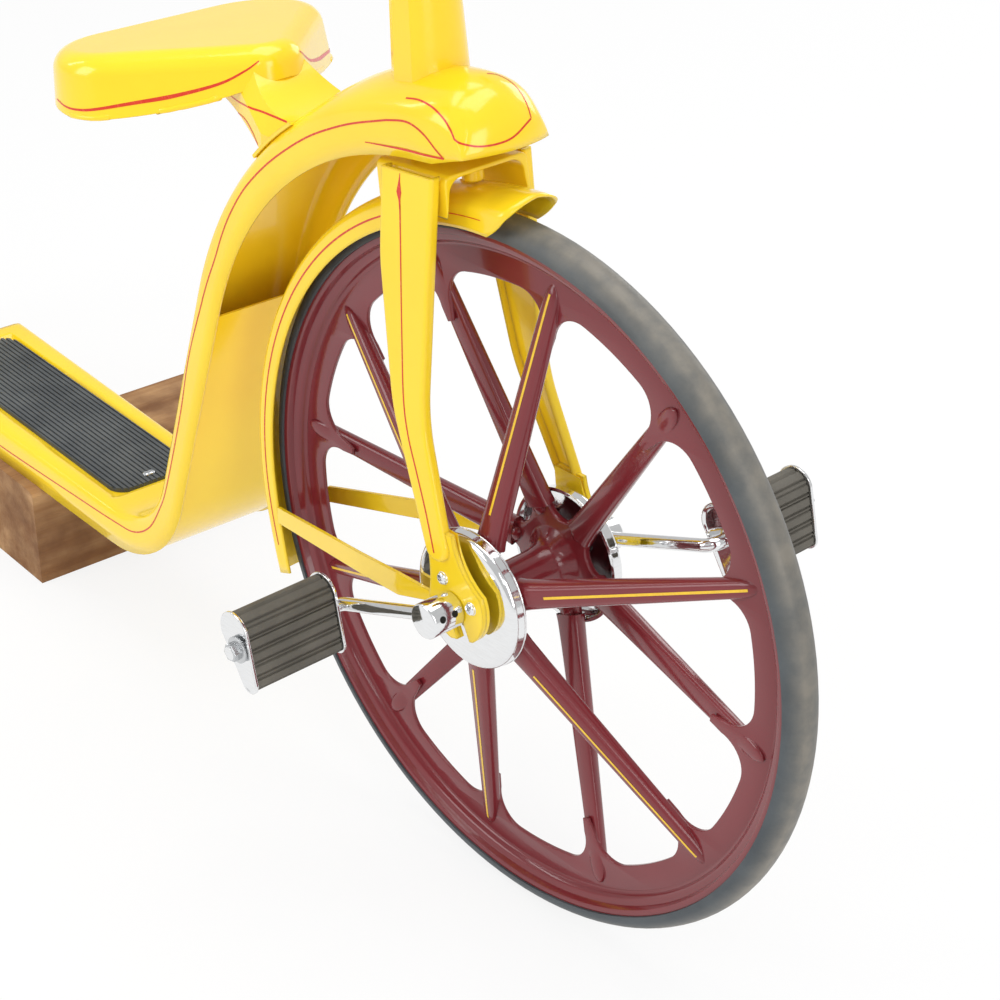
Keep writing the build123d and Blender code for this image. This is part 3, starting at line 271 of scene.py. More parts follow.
pale_grain = (0.50, 0.30, 0.15, 1)
dark_grain = (0.30, 0.15, 0.065, 1)
old_stain = (0.13, 0.055, 0.028, 1)
timber = Finish("sawn_timber", Specular_IOR_Level=0.2)
grain_place = timber.stretched((1, 14, 1))
growth = timber.noise(scale=55, detail=6, roughness=0.6, place=grain_place)
fibres = timber.noise(scale=420, detail=4, roughness=0.6, place=grain_place)
stain = timber.noise(scale=16, detail=4).above(0.38, 0.66)
clean_wood = timber.mix(growth.above(0.35, 0.65), pale_grain, dark_grain)
timber.feed("Base Color", timber.mix(stain * 0.7, clean_wood, old_stain))
timber.feed("Roughness", 0.72 + fibres * 0.2)
timber.bump(growth * 0.6 + fibres, depth=0.0008)
put(timber, "wood_beam")


# Body: one deep steel pressing from footboard to nose, in thick glossy yellow enamel. Its flat top turns
# down through round creases into leaning sides. The head is crowned and rolls down in front, where the
# sides run out in a point.
def enamel(name, colour, deep, roughness, edge=0.0008):
    """Sprayed enamel with a faint orange peel, clouds of deeper colour and edges rubbed to bare steel."""
    paint = Finish(name, IOR=1.5, Specular_IOR_Level=0.4, Coat_Roughness=0.03)
    cloud = paint.noise(scale=14, detail=4)
    fine = paint.noise(scale=160)
    rubbed = (paint.worn_edge(0.0012) * paint.noise(scale=300)).above(0.16, 0.24)
    tint = paint.mix(cloud.above(0.35, 0.75) * 0.35, colour, deep)
    tint = paint.mix(rubbed * 0.55, tint, bare_steel)
    paint.feed("Base Color", tint)
    paint.feed("Roughness", roughness + fine * 0.05 + rubbed * 0.3)
    paint.feed("Coat Weight", 0.35 - rubbed * 0.3)
    peel = paint.noise(scale=420, detail=2) + paint.noise(scale=60, detail=2) * 0.8
    paint.bump(peel, 0.00006, edge)
    return paint


bare_steel = (0.10, 0.06, 0.03, 1)
bright_yellow = (0.98, 0.69, 0.018, 1)
deep_yellow = (0.93, 0.57, 0.010, 1)
enamel_gloss = 0.16
yellow = enamel("yellow_enamel", bright_yellow, deep_yellow, enamel_gloss)
put(yellow, "body_channel", "leg_panel", "head_tube", "column_shroud", "rear_fork")

board_z = 0.121
board_rear_x = -0.188
board_stations = (board_rear_x, -0.184, -0.1765, -0.1745, -0.1705, -0.1695, -0.165,
                  *(-0.15 + 0.03 * n for n in range(10)), 0.150, 0.1545, 0.1555, 0.1595, 0.164)
side_depth = 0.031
sheet = 0.0018
low_bend = Vector((0.170, 0.205))
low_bend_radius = 0.084
low_bend_steps = 14
high_bend = Vector((0.606, 0.2665))
high_bend_radius = 0.308
high_bend_steps = 43
bend_span = high_bend - low_bend
leg_normal = atan2(bend_span.y, bend_span.x) - acos((low_bend_radius + high_bend_radius) / bend_span.length)
roll_from = radians(94.6)
roll_radius = 0.027
roll_turn = radians(84)
roll_steps = 12
head_crown = 0.017
crown_from_step = 14
crown_rise_steps = 24
crown_fall = 0.008
crease_radius = 0.009
crease_rows = 5
widest_half = 0.056
widest_at = Vector((0.170, 0.090))
forward_taper = 0.019
side_lean = 0.022
nose_taper = 0.004
nose_from_x = 0.57
nose_run = 0.035
tray_half = 0.0405
tray_from_x = -0.170
tray_to_x = 0.155
tray_drop = 0.003
tray_wall = 0.0004
# Where the rows of a section lie, as shares of its own reach and width.
mid_side = 0.6
bend_limit = 0.45
tray_limit = 0.8
slope_columns = (0.4, 0.85)
tray_columns = (0.94, 0.75, 0.5, 0.25)


def half_width(x, z):
    """Half the cover's width, which narrows upwards and forwards."""
    return widest_half - forward_taper * (x - widest_at.x) - side_lean * (z - widest_at.y)


def around(centre, radius, angle):
    """A place on a circle."""
    return Vector((centre.x + radius * cos(angle), centre.y + radius * sin(angle)))


def cover_stations():
    """Places along the cover in side view: its crease, the way out of it, the open edge and the crown."""
    found = []
    for x in board_stations:
        found.append((Vector((x, board_z)), Vector((0, 1)), Vector((x, board_z - side_depth)), 0.0))
    for step in range(low_bend_steps + 1):
        angle = -pi / 2 + (leg_normal + pi / 2) * step / low_bend_steps
        inward = Vector((-cos(angle), -sin(angle)))
        crease = around(low_bend, low_bend_radius, angle)
        found.append((crease, inward, crease - inward * side_depth, 0.0))
    for step in range(high_bend_steps + 1):
        angle = leg_normal + pi + (roll_from - leg_normal - pi) * step / high_bend_steps
        outward = Vector((cos(angle), sin(angle)))
        crease = around(high_bend, high_bend_radius, angle)
        share = min(max((step - crown_from_step) / crown_rise_steps, 0), 1)
        crown = head_crown * share * share * (3 - 2 * share)
        found.append((crease, outward, crease - outward * side_depth, crown))
    crease_end = around(high_bend, high_bend_radius, roll_from)
    roll_centre = around(high_bend, high_bend_radius - roll_radius, roll_from)
    corner = around(roll_centre, roll_radius, roll_from - roll_turn)
    edge_from = crease_end - Vector((cos(roll_from), sin(roll_from))) * side_depth
    for step in range(1, roll_steps + 1):
        share = step / roll_steps
        angle = roll_from - roll_turn * share
        outward = Vector((cos(angle), sin(angle)))
        found.append((around(roll_centre, roll_radius, angle), outward, edge_from.lerp(corner, share),
                      head_crown - crown_fall * share))
    return found


def cover_section(crease, outward, edge, crown):
    """One row of points across the cover, from the open edge on the right to the one on the left."""
    wide = half_width(crease.x, crease.y) - nose_taper * min(max((crease.x - nose_from_x) / nose_run, 0), 1)
    edge_wide = max(wide + side_lean * (crease.y - edge.y), wide)
    reach = (crease - edge).length
    bend = min(crease_radius, reach * bend_limit)
    tray = tray_from_x < crease.x < tray_to_x and abs(outward.y - 1) < 1e-6
    half = [(-edge_wide, -reach), (-(wide + edge_wide) / 2, -reach * mid_side)]
    for step in range(crease_rows + 1):
        t = step / crease_rows
        start, turn = Vector((-wide, -bend)), Vector((-wide, 0))
        stop = Vector((bend - wide, crown * (1 - (1 - bend / wide) ** 2)))
        half.append(tuple((1 - t) ** 2 * start + 2 * t * (1 - t) * turn + t * t * stop))
    tray_side = min(tray_half, (wide - bend) * tray_limit)
    columns = [bend - wide + (wide - bend - tray_side) * t for t in slope_columns]
    columns += [-tray_side - tray_wall, tray_wall - tray_side]
    columns += [-tray_side * t for t in tray_columns]
    for y in columns:
        sunk = tray_drop if tray and abs(y) < tray_half else 0.0
        half.append((y, crown * (1 - (y / wide) ** 2) - sunk))
    middle = [(0.0, crown - (tray_drop if tray else 0.0))]
    row = []
    for y, rise in [*half, *middle, *((-y, rise) for y, rise in reversed(half))]:
        along = (edge - crease).normalized() * -rise if rise < 0 and reach > 0 else outward * rise
        row.append(Vector((crease.x + along.x, y, crease.y + along.y)))
    return row


def shown(name, mesh, finish):
    """Puts a mesh into the scene as one smooth piece in its finish."""
    data = bpy.data.meshes.new(name)
    mesh.to_mesh(data)
    mesh.free()
    data.materials.append(finish.material)
    for face in data.polygons:
        face.use_smooth = True
    piece = bpy.data.objects.new(name, data)
    bpy.context.scene.collection.objects.link(piece)
    return piece


def skin(name, rows, finish):
    """A surface through rows of points."""
    mesh = bmesh.new()
    grid = [[mesh.verts.new(point) for point in row] for row in rows]
    for row, after in zip(grid, grid[1:]):
        for count in range(len(row) - 1):
            mesh.faces.new((row[count], row[count + 1], after[count + 1], after[count]))
    bmesh.ops.remove_doubles(mesh, verts=mesh.verts, dist=1e-5)
    bmesh.ops.recalc_face_normals(mesh, faces=mesh.faces)
    return shown(name, mesh, finish)


def made_plain(piece):
    """Applies a piece's modifiers to its mesh."""
    bpy.context.view_layer.update()
    evaluated = piece.evaluated_get(bpy.context.evaluated_depsgraph_get())
    data = bpy.data.meshes.new_from_object(evaluated)
    piece.modifiers.clear()
    piece.data = data


def walled(piece, thickness):
    """Gives a skin its sheet's thickness, inwards, and makes it a plain mesh."""
    solid = piece.modifiers.new("wall", "SOLIDIFY")
    solid.thickness = thickness
    solid.offset = -1
    made_plain(piece)


cover = skin("body_cover", [cover_section(*station) for station in cover_stations()], yellow)
highest_face = max(cover.data.polygons, key=lambda face: face.center.z)
if highest_face.normal.z < 0:
    cover.data.flip_normals()
walled(cover, sheet)
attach(cover, "frame")
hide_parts("body_channel")


# Footboard mat: ribbed black rubber in the board's shallow tray, gone slate grey and dusty. Rivets
# through its ends hold it down.
def rubber(name, colour, dust, roughness, dust_share):
    """Old rubber, with dust in patches and fine specks."""
    gum = Finish(name, Specular_IOR_Level=0.4)
    patches = gum.noise(scale=22, detail=5).above(0.35, 0.7)
    specks = gum.noise(scale=500)
    gum.feed("Base Color", gum.mix(patches * dust_share + specks * 0.12, colour, dust))
    gum.feed("Roughness", roughness + patches * 0.18)
    gum.bump(specks + gum.noise(scale=90) * 0.6, depth=0.0001)
    return gum


mat_rubber = rubber("mat_rubber", (0.055, 0.062, 0.068, 1), (0.17, 0.18, 0.18, 1), roughness=0.62,
                    dust_share=0.45)
put(mat_rubber, "footboard_mat")


# Saddle: a steel pan on a pressed bracket, in the body's yellow enamel. The pan's lower edge is rolled
# into a thin bead all round, made here as a tube that follows the edge.
def joined(name, shapes, to_place, finish, body, replaced=(), sharp=35):
    """One piece from several shapes, each carried to its place and turned right side out."""
    mesh = bmesh.new()
    for points, faces in shapes:
        part = bmesh.new()
        made = [part.verts.new(to_place(point)) for point in points]
        for face in faces:
            if len(set(face)) > 2:
                part.faces.new([made[index] for index in face])
        bmesh.ops.remove_doubles(part, verts=part.verts, dist=1e-6)
        bmesh.ops.recalc_face_normals(part, faces=part.faces)
        held = bpy.data.meshes.new("part")
        part.to_mesh(held)
        part.free()
        mesh.from_mesh(held)
        bpy.data.meshes.remove(held)
    piece = shown(name, mesh, finish)
    piece.data.set_sharp_from_angle(angle=radians(sharp))
    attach(piece, body)
    if replaced:
        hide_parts(*replaced)
    return piece


def looped(rings):
    """A ring of rings, closed on itself."""
    count = len(rings[0])
    faces = []
    for row in range(len(rings)):
        here, there = row * count, (row + 1) % len(rings) * count
        for step in range(count):
            after = (step + 1) % count
            faces.append((here + step, here + after, there + after, there + step))
    return [point for ring in rings for point in ring], faces


def tube_rings(path, radius, binormal, steps=20, closed=False):
    """Rings round a path that stays square to the binormal."""
    path = [Vector(point) for point in path]
    rings = []
    for index, point in enumerate(path):
        before = path[index - 1] if closed or index else point
        after = path[(index + 1) % len(path)] if closed or index < len(path) - 1 else point
        out = (after - before).normalized().cross(binormal)
        turns = [tau * step / steps for step in range(steps)]
        rings.append([point + binormal * radius * cos(turn) + out * radius * sin(turn) for turn in turns])
    return rings


surfaces = {}


def surface_of(piece):
    """A piece's faces as a tree that rays can be cast at. Each is built once."""
    if piece.name not in surfaces:
        piece.data.calc_loop_triangles()
        surfaces[piece.name] = BVHTree.FromPolygons([vertex.co[:] for vertex in piece.data.vertices],
                                                    [face.vertices[:] for face in piece.data.loop_triangles])
    return surfaces[piece.name]


put(yellow, "saddle_pan", "saddle_bracket")
saddle_nose = Vector((0.372, 0, 0.554))
saddle_tilt = radians(8.5)
saddle_depth = 0.050
saddle_middle = 0.085
hem_radius = 0.0021
hem_inset = 0.0012
hem_steps = 120
look_from = 0.3
search_from = 0.002
search_step = 0.0003
saddle_ahead = Vector((cos(saddle_tilt), 0, sin(saddle_tilt)))
saddle_up = Vector((-sin(saddle_tilt), 0, cos(saddle_tilt)))


def saddle_hem():
    """The path of the pan's lower edge, found by looking in at it from all round, from below upwards."""
    middle = saddle_nose - saddle_ahead * saddle_middle
    path = []
    for step in range(hem_steps):
        angle = tau * step / hem_steps
        out = saddle_ahead * cos(angle) + Vector((0, sin(angle), 0))
        place = None
        drop = saddle_depth + search_from
        while place is None:
            drop -= search_step
            eye = middle - saddle_up * drop + out * look_from
            place, _, _, _ = surface_of(nodes["saddle_pan"]).ray_cast(eye, -out)
        path.append(place - out * hem_inset + saddle_up * hem_inset)
    return path


hem = looped(tube_rings(saddle_hem(), hem_radius, saddle_up, 12, closed=True))
joined("saddle_hem", [hem], Vector, yellow, "frame")

# Fork: two pressed blades in yellow enamel, a bent bracket between them whose opening is round in the
# corners, and a boss under it for the fender. It stands a little turned, and everything on it is carried
# round with it.
soft_yellow = enamel("soft_yellow_enamel", bright_yellow, deep_yellow, enamel_gloss, edge=0.0035)
put(soft_yellow, "fork_leg_right", "fork_leg_left")
put(yellow, "fork_crown")
steer_degrees = 3.1
steer_base = Vector(joints["steering_turn"]["pos_m"])
steer_axis = Vector(joints["steering_turn"]["axis"])
steer_turn = Matrix.Rotation(radians(steer_degrees), 3, steer_axis)


def turned(point):
    """A place given for the fork straight ahead, carried to where the steering stands."""
    return steer_base + steer_turn @ (Vector(point) - steer_base)


def arc(centre, radius, start, stop, steps):
    """Points of an arc in the plane, its ends included. Angles in radians."""
    return [(centre[0] + radius * cos(start + (stop - start) * step / steps),
             centre[1] + radius * sin(start + (stop - start) * step / steps)) for step in range(steps + 1)]


def lathe(profile, steps, closed=False):
    """Rings of points round Z from a profile of (z, radius) in metres, with their faces."""
    points = [(radius * cos(tau * step / steps), radius * sin(tau * step / steps), z)
              for z, radius in profile for step in range(steps)]
    rows = len(profile)
    faces = []
    for row in range(rows if closed else rows - 1):
        for step in range(steps):
            after = (step + 1) % steps
            here, above = row * steps, (row + 1) % rows * steps
            faces.append((here + step, above + step, above + after, here + after))
    return points, faces


def flat_plate(loops, half, edge):
    """A plate between loops of (x, y) points, lying on Z = 0, with its edges rounded."""
    curve = bpy.data.curves.new("plate", "CURVE")
    curve.dimensions = "2D"
    curve.fill_mode = "BOTH"
    curve.extrude = half - edge
    curve.bevel_depth = edge
    curve.bevel_resolution = 2
    curve.offset = -edge
    for loop in loops:
        spline = curve.splines.new("POLY")
        spline.points.add(len(loop) - 1)
        spline.use_cyclic_u = True
        for knot, (x, y) in zip(spline.points, loop):
            knot.co = (x, y, 0, 1)
    holder = bpy.data.objects.new("plate", curve)
    bpy.context.scene.collection.objects.link(holder)
    bpy.context.view_layer.update()
    mesh = bpy.data.meshes.new_from_object(holder.evaluated_get(bpy.context.evaluated_depsgraph_get()))
    found = [vertex.co[:] for vertex in mesh.vertices], [face.vertices[:] for face in mesh.polygons]
    bpy.data.objects.remove(holder)
    bpy.data.curves.remove(curve)
    bpy.data.meshes.remove(mesh)
    return found


def shifted(shape, move=(0, 0, 0), turn=None):
    """A shape's points turned and then moved, with its faces as they are."""
    points, faces = shape
    carried = [Vector(point) for point in points]
    if turn is not None:
        carried = [turn @ point for point in carried]
    return [point + Vector(move) for point in carried], faces


crown_place = Vector((0.5378, 0, 0.529))
crown_forward = Vector((steer_axis.z, 0, -steer_axis.x))
crown_half = 0.0337
crown_foot = 0.0362
crown_drop = 0.027
crown_wall = 0.003
crown_corner = 0.005
crown_bend = 0.010
crown_edge = 0.0009
crown_from, crown_to = -0.016, 0.050
bend_in = crown_wall + crown_bend
crown_loop = [*arc((crown_corner - crown_half, -crown_corner), crown_corner, pi, pi / 2, 8),
              *arc((crown_half - crown_corner, -crown_corner), crown_corner, pi / 2, 0, 8),
              (crown_foot, -crown_drop), (crown_foot - crown_wall, -crown_drop),
              *arc((crown_half - bend_in, -bend_in), crown_bend, 0, pi / 2, 10),
              *arc((bend_in - crown_half, -bend_in), crown_bend, pi / 2, pi, 10),
              (crown_wall - crown_foot, -crown_drop)]
fender_boss_profile = ((0.0, 0.0005), (0.0, 0.006), (0.001, 0.007), (0.0118, 0.007), (0.0118, 0.0005))
fender_boss_at = (0, -0.0125, 0.0365)


def on_crown(point):
    """Carries a point given across, up and forward on the crown to its place."""
    return turned(crown_place + Vector((0, point[0], 0)) + steer_axis * point[1] + crown_forward * point[2])


crown_plate = shifted(flat_plate([crown_loop], (crown_to - crown_from) / 2, crown_edge),
                      (0, 0, (crown_to + crown_from) / 2))
fender_boss = shifted(lathe(fender_boss_profile, 24), fender_boss_at, Matrix.Rotation(-pi / 2, 3, "X"))
joined("crown_bracket", [crown_plate, fender_boss], on_crown, yellow, "steering",
       ("fork_crown",))

# Fenders: rolled steel arches in yellow enamel. The front one lies close round the tyre, its centre a
# little ahead of the axle, with two stays to the claws. In front it opens into a raised bill, with the
# sides cut back.
put(yellow, "front_fender", "fender_stay_right", "fender_stay_left", "rear_fender")
axle_place = Vector((0.622, 0, 0.254))
fender_ahead = 0.005
fender_crown = 0.2686
fender_half = 0.022
fender_lip = 0.247
fender_sheet = 0.0014
fender_rear = 202
fender_columns = 24
fender_rows = 70
shoulder_share = 0.62
shoulder_drop = 0.009
bill_tip = 88.7
bill_side = 93.5
bill_power = 2.6
bill_from, bill_span = 106, 17
bill_rise, bill_side_fall = 0.0045, 0.0065
flare_from, flare_span = 188, 14
flare_out, flare_wide = 0.002, 0.0015


def fender_row(share):
    """One row across the arch. share runs from the rear end to the bill."""
    row = []
    for column in range(fender_columns + 1):
        across = column / fender_columns * 2 - 1
        side = abs(across)
        front = bill_tip + (bill_side - bill_tip) * side ** bill_power
        angle = fender_rear + (front - fender_rear) * share
        lift = max(0.0, (bill_from - angle) / bill_span) ** 2
        spread = max(0.0, (angle - flare_from) / flare_span) ** 2
        if side < shoulder_share:
            turn = side / shoulder_share * pi / 2
            out = fender_crown - shoulder_drop * (1 - cos(turn))
            wide = fender_half * sin(turn)
        else:
            fall = (side - shoulder_share) / (1 - shoulder_share)
            out = fender_crown - shoulder_drop - (fender_crown - shoulder_drop - fender_lip) * fall
            wide = fender_half
        out += lift * (bill_rise - bill_side_fall * side) + spread * flare_out
        wide += spread * flare_wide * side
        place = Vector((axle_place.x + fender_ahead + out * cos(radians(angle)),
                        wide if across > 0 else -wide,
                        axle_place.z + out * sin(radians(angle))))
        row.append(turned(place))
    return row


def facing(piece, inside):
    """Turns a skin's faces so that they point away from a place inside it."""
    data = piece.data
    total = sum((face.center - inside).dot(face.normal) * face.area for face in data.polygons)
    if total < 0:
        data.flip_normals()


fender_arch = [fender_row(step / fender_rows) for step in range(fender_rows + 1)]
fender = skin("front_fender_arch", fender_arch, yellow)
facing(fender, turned(axle_place))
walled(fender, fender_sheet)
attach(fender, "steering")
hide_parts("front_fender")

# Wheels: one aluminium casting each, in maroon enamel. A rim with a step, a flat web whose windows have
# large round corners, twelve spokes in two rows that run out on the web like a bow, and a lobed plate at
# each end of the barrel.
maroon = enamel("maroon_enamel", (0.195, 0.020, 0.026, 1), (0.13, 0.011, 0.015, 1), roughness=0.17)
WheelForm = namedtuple("WheelForm", "axle turn radius corner root_radius root_width root_depth tip_width "
                       "tip_depth plate_offset arm_half arm_corner barrel_radius barrel_half")
front_form = WheelForm(axle=axle_place, turn=True, radius=0.254, corner=0.021, root_radius=0.042,
                       root_width=0.019, root_depth=0.014, tip_width=0.0125, tip_depth=0.0085,
                       plate_offset=0.033, arm_half=0.0085, arm_corner=0.0155, barrel_radius=0.0135,
                       barrel_half=0.033)
rear_form = WheelForm(axle=Vector((-0.333, 0, 0.127)), turn=False, radius=0.127, corner=0.010,
                      root_radius=0.024, root_width=0.011, root_depth=0.008, tip_width=0.009,
                      tip_depth=0.006, plate_offset=0.017, arm_half=0.005, arm_corner=0.0085,
                      barrel_radius=0.010, barrel_half=0.0309)
wheels = (("front_wheel", front_form, "front_wheel_set"), ("rear_wheel", rear_form, "rear_wheel_set"))
spoke_count = 12
spoke_step = tau / spoke_count
arm_count = spoke_count // 2
first_spoke = 82.7
web_outer_drop = 0.0262
web_inner_drop = 0.045
web_half = 0.0016
web_edge = 0.0007
tip_drop = 0.038
rim_profile = ((-11.6, -13.0), (-11.6, -16.2), (-11.1, -17.2), (-9.4, -18.0), (-7.4, -18.8), (-6.8, -20.0),
               (-6.5, -22.3), (-5.4, -23.9), (-3.2, -24.8), (-2.2, -25.6), (-1.7, -27.2), (1.7, -27.2),
               (2.2, -25.6), (3.2, -24.8), (5.4, -23.9), (6.5, -22.3), (6.8, -20.0), (7.4, -18.8),
               (9.4, -18.0), (11.1, -17.2), (11.6, -16.2), (11.6, -13.0))
spoke_stations = [(0.0, 1.12, 1.0), (0.03, 1.04, 1.0),
                  *((0.03 + 0.82 * n / 8, 1.0, 1.0) for n in range(1, 9)),
                  (0.90, 1.0, 1.0), (0.95, 1.0, 1.0), (0.98, 0.97, 0.98), (1.0, 0.88, 0.94),
                  (1.015, 0.72, 0.86), (1.028, 0.50, 0.74), (1.036, 0.28, 0.62), (1.040, 0.05, 0.50)]
spoke_sides = 20
spoke_squareness = 0.62
spoke_draft = 0.16
# Finer sizes of a wheel: the web's feet as shares of the spoke's tip, the reach of arms, roots and
# bosses as shares of the root's radius, the plate as shares of its depth, the boss of the arm's width.
foot_half = 0.38
foot_reach = 2.2
foot_tip = 0.5
arm_reach = 1.12
root_reach = 0.94
boss_reach = 0.9
plate_half = 0.2
plate_edge = 0.08
boss_shares = ((0.0, 0.62), (0.25, 0.58), (0.4, 0.4), (0.46, 0.02))
barrel_end_radii = (0.5, 1.9)
barrel_shares = ((0.93, 1.85), (0.8, 1.35), (0.6, 1.06), (0.3, 1.0))


def seat(form, point):
    """Carries a point from a wheel's own frame, its Z along the axle to the right, to its place."""
    x, y, z = point
    placed = form.axle + Vector((x, -z, y))
    return turned(placed) if form.turn else placed


def loft(rings):
    """A solid through closed rings of points, with flat ends."""
    count = len(rings[0])
    points = [point for ring in rings for point in ring]
    faces = [tuple(range(count)), tuple(reversed(range(len(points) - count, len(points))))]
    for row in range(len(rings) - 1):
        here, there = row * count, (row + 1) * count
        for step in range(count):
            after = (step + 1) % count
            faces.append((here + step, here + after, there + after, there + step))
    return points, faces


def web_loops(form):
    """The web's outer circle, and its inner edge with a pointed foot under each spoke."""
    inner = form.radius - web_inner_drop
    half = form.tip_width * foot_half
    reach = inner - form.corner
    swing = asin((half + form.corner) / reach)
    foot = reach * cos(swing)
    loop = []
    for spoke in range(spoke_count):
        angle = radians(first_spoke) + spoke_step * spoke
        out, side = Vector((cos(angle), sin(angle))), Vector((-sin(angle), cos(angle)))
        loop += arc(out * foot - side * (half + form.corner), form.corner, angle - swing, angle + pi / 2, 12)
        loop += [tuple(out * (foot - half * foot_reach) + side * way * half * foot_tip)
                 for way in (-1, 1)]
        loop += arc(out * foot + side * (half + form.corner), form.corner, angle - pi / 2, angle + swing, 12)
        loop += arc((0, 0), inner, angle + swing, angle + spoke_step - swing, 8)[1:-1]
    outer = arc((0, 0), form.radius - web_outer_drop, 0, tau, 180)[:-1]
    return outer, loop


def hub_loop(form):
    """The outline of a hub plate with its six arms, round between them."""
    loop = []
    for arm in range(arm_count):
        angle = tau * arm / arm_count
        out, side = Vector((cos(angle), sin(angle))), Vector((-sin(angle), cos(angle)))
        loop += [tuple(out * form.root_radius * arm_reach + side * way * form.arm_half)
                 for way in (-1, 1)]
        gap = 2 * (form.arm_half + form.arm_corner)
        centre = Vector((cos(angle + spoke_step), sin(angle + spoke_step))) * gap
        loop += arc(centre, form.arm_corner, angle - pi / 2, angle - pi / 2 - tau / 3, 12)
    return loop


def squared(turn):
    """A circle's place at a turn, drawn out towards the corners of a square."""
    return [abs(value) ** spoke_squareness * (1 if value >= 0 else -1) for value in (cos(turn), sin(turn))]


def spoke_rings(form, angle, side):
    """Rings along a spoke, from its root on the hub plate to the bow on the web, and its ridge."""
    out, across = Vector((cos(angle), sin(angle), 0)), Vector((-sin(angle), cos(angle), 0))
    root = out * form.root_radius * root_reach + Vector((0, 0, side * form.plate_offset))
    tip = out * (form.radius - tip_drop)
    along = (tip - root).normalized()
    outward = across.cross(along) * -side
    outward = outward if outward.z * side > 0 else -outward
    length = (tip - root).length
    rings = []
    ridge = []
    for share, wide, deep in spoke_stations:
        half = (form.root_width + (form.tip_width - form.root_width) * min(share, 1)) / 2 * wide
        depth = (form.root_depth + (form.tip_depth - form.root_depth) * min(share, 1)) / 2 * deep
        centre = root + along * length * share
        places = [squared(tau * step / spoke_sides) for step in range(spoke_sides)]
        rings.append([centre + across * half * x * (1 - spoke_draft * d) + outward * depth * d
                      for x, d in places])
        ridge.append((centre + outward * depth, across, outward))
    return rings, ridge


wheel_lines = {}
for name, form, body in wheels:
    rim = [(z / 1000, form.radius + drop / 1000) for z, drop in rim_profile]
    half_barrel = [(-form.barrel_half, form.barrel_radius * radius) for radius in barrel_end_radii]
    half_barrel += [(-form.plate_offset * z, form.barrel_radius * radius) for z, radius in barrel_shares]
    barrel = half_barrel + [(-z, radius) for z, radius in reversed(half_barrel)]
    shapes = [lathe(rim, 180, closed=True), flat_plate(web_loops(form), web_half, web_edge),
              lathe(barrel, 48, closed=True)]
    boss_profile = [(form.arm_half * z, form.arm_half * radius) for z, radius in boss_shares]
    for side in (1, -1):
        start = radians(first_spoke) if side == 1 else radians(first_spoke) - spoke_step
        plate = flat_plate([hub_loop(form)], form.root_depth * plate_half, form.root_depth * plate_edge)
        shapes.append(shifted(plate, (0, 0, side * form.plate_offset), Matrix.Rotation(start, 3, "Z")))
        boss_from = form.plate_offset - form.root_depth * plate_half
        boss = lathe([(side * (boss_from - z), radius) for z, radius in boss_profile], 20)
        for spoke in range(arm_count):
            angle = start - tau * spoke / arm_count
            rings, ridge = spoke_rings(form, angle, side)
            shapes.append(loft(rings))
            wheel_lines.setdefault(name, []).append(ridge)
            boss_at = Vector((cos(angle), sin(angle), 0)) * form.root_radius * boss_reach
            shapes.append(shifted(boss, boss_at))
    joined(f"{name}_casting", shapes, lambda point, form=form: seat(form, point), maroon, body,
           (name,))

# Tyres: solid rubber sprung over the rims, black once and now slate grey. The tread is worn to a paler,
# dusty brown along the middle, in patches, and the walls stay darker.
tyre_black = (0.040, 0.050, 0.058, 1)
tyre_dust = (0.15, 0.17, 0.18, 1)
tread_dust = (0.25, 0.225, 0.185, 1)
for name, turn, shoulder in (("front_tyre", steer_degrees, 0.0185), ("rear_tyre", 0, 0.0105)):
    tyre_rubber = rubber(f"{name}_rubber", tyre_black, tyre_dust, roughness=0.42, dust_share=0.35)
    corners = [nodes[name].matrix_world @ vertex.co for vertex in nodes[name].data.vertices]
    middle = sum(corners, Vector()) / len(corners)
    across = tyre_rubber.axis("Y", tyre_rubber.stretched((1, 1, 1), middle, (0, 0, radians(turn))))
    reach = across.maths("ABSOLUTE", across)
    worn = 1 - reach.above(shoulder * 0.30, shoulder * 0.72)
    patchy = worn * tyre_rubber.noise(scale=60, detail=5).above(0.30, 0.62)
    sound = tyre_rubber.surface.inputs["Base Color"].links[0].from_socket
    tyre_rubber.feed("Base Color", tyre_rubber.mix(patchy * 0.45 + worn * 0.35, sound, tread_dust))
    put(tyre_rubber, name)


# Hub cups and cranks: bright chrome, with duller zinc on the axles. The cup is a pressed dish with a
# flange. The crank is a round boss with a rod that bends outward at its end to carry the pedal.
def plated(name, colour, roughness, haze):
    """Metal plate with fine pits and streaks of haze."""
    metal = Finish(name, Metallic=1.0)
    pits = metal.noise(scale=900, detail=2)
    streaks = metal.noise(scale=120, place=metal.stretched((1, 1, 0.15)))
    metal.feed("Base Color", metal.mix(streaks * haze, colour, plate_haze))
    metal.feed("Roughness", roughness + pits.above(0.5, 0.8) * haze * 0.6)
    metal.bump(pits, 0.00002, 0.0007)
    return metal


plate_haze = (0.45, 0.44, 0.42, 1)
chrome = plated("chrome_plate", (0.86, 0.87, 0.88, 1), roughness=0.05, haze=0.25)
put(chrome, "hub_cup_right", "hub_cup_left", "crank_right", "crank_left")
zinc = plated("zinc_plate", (0.62, 0.64, 0.66, 1), roughness=0.24, haze=0.5)
put(zinc, "front_axle", "rear_axle")


def on_front(point):
    return seat(front_form, point)


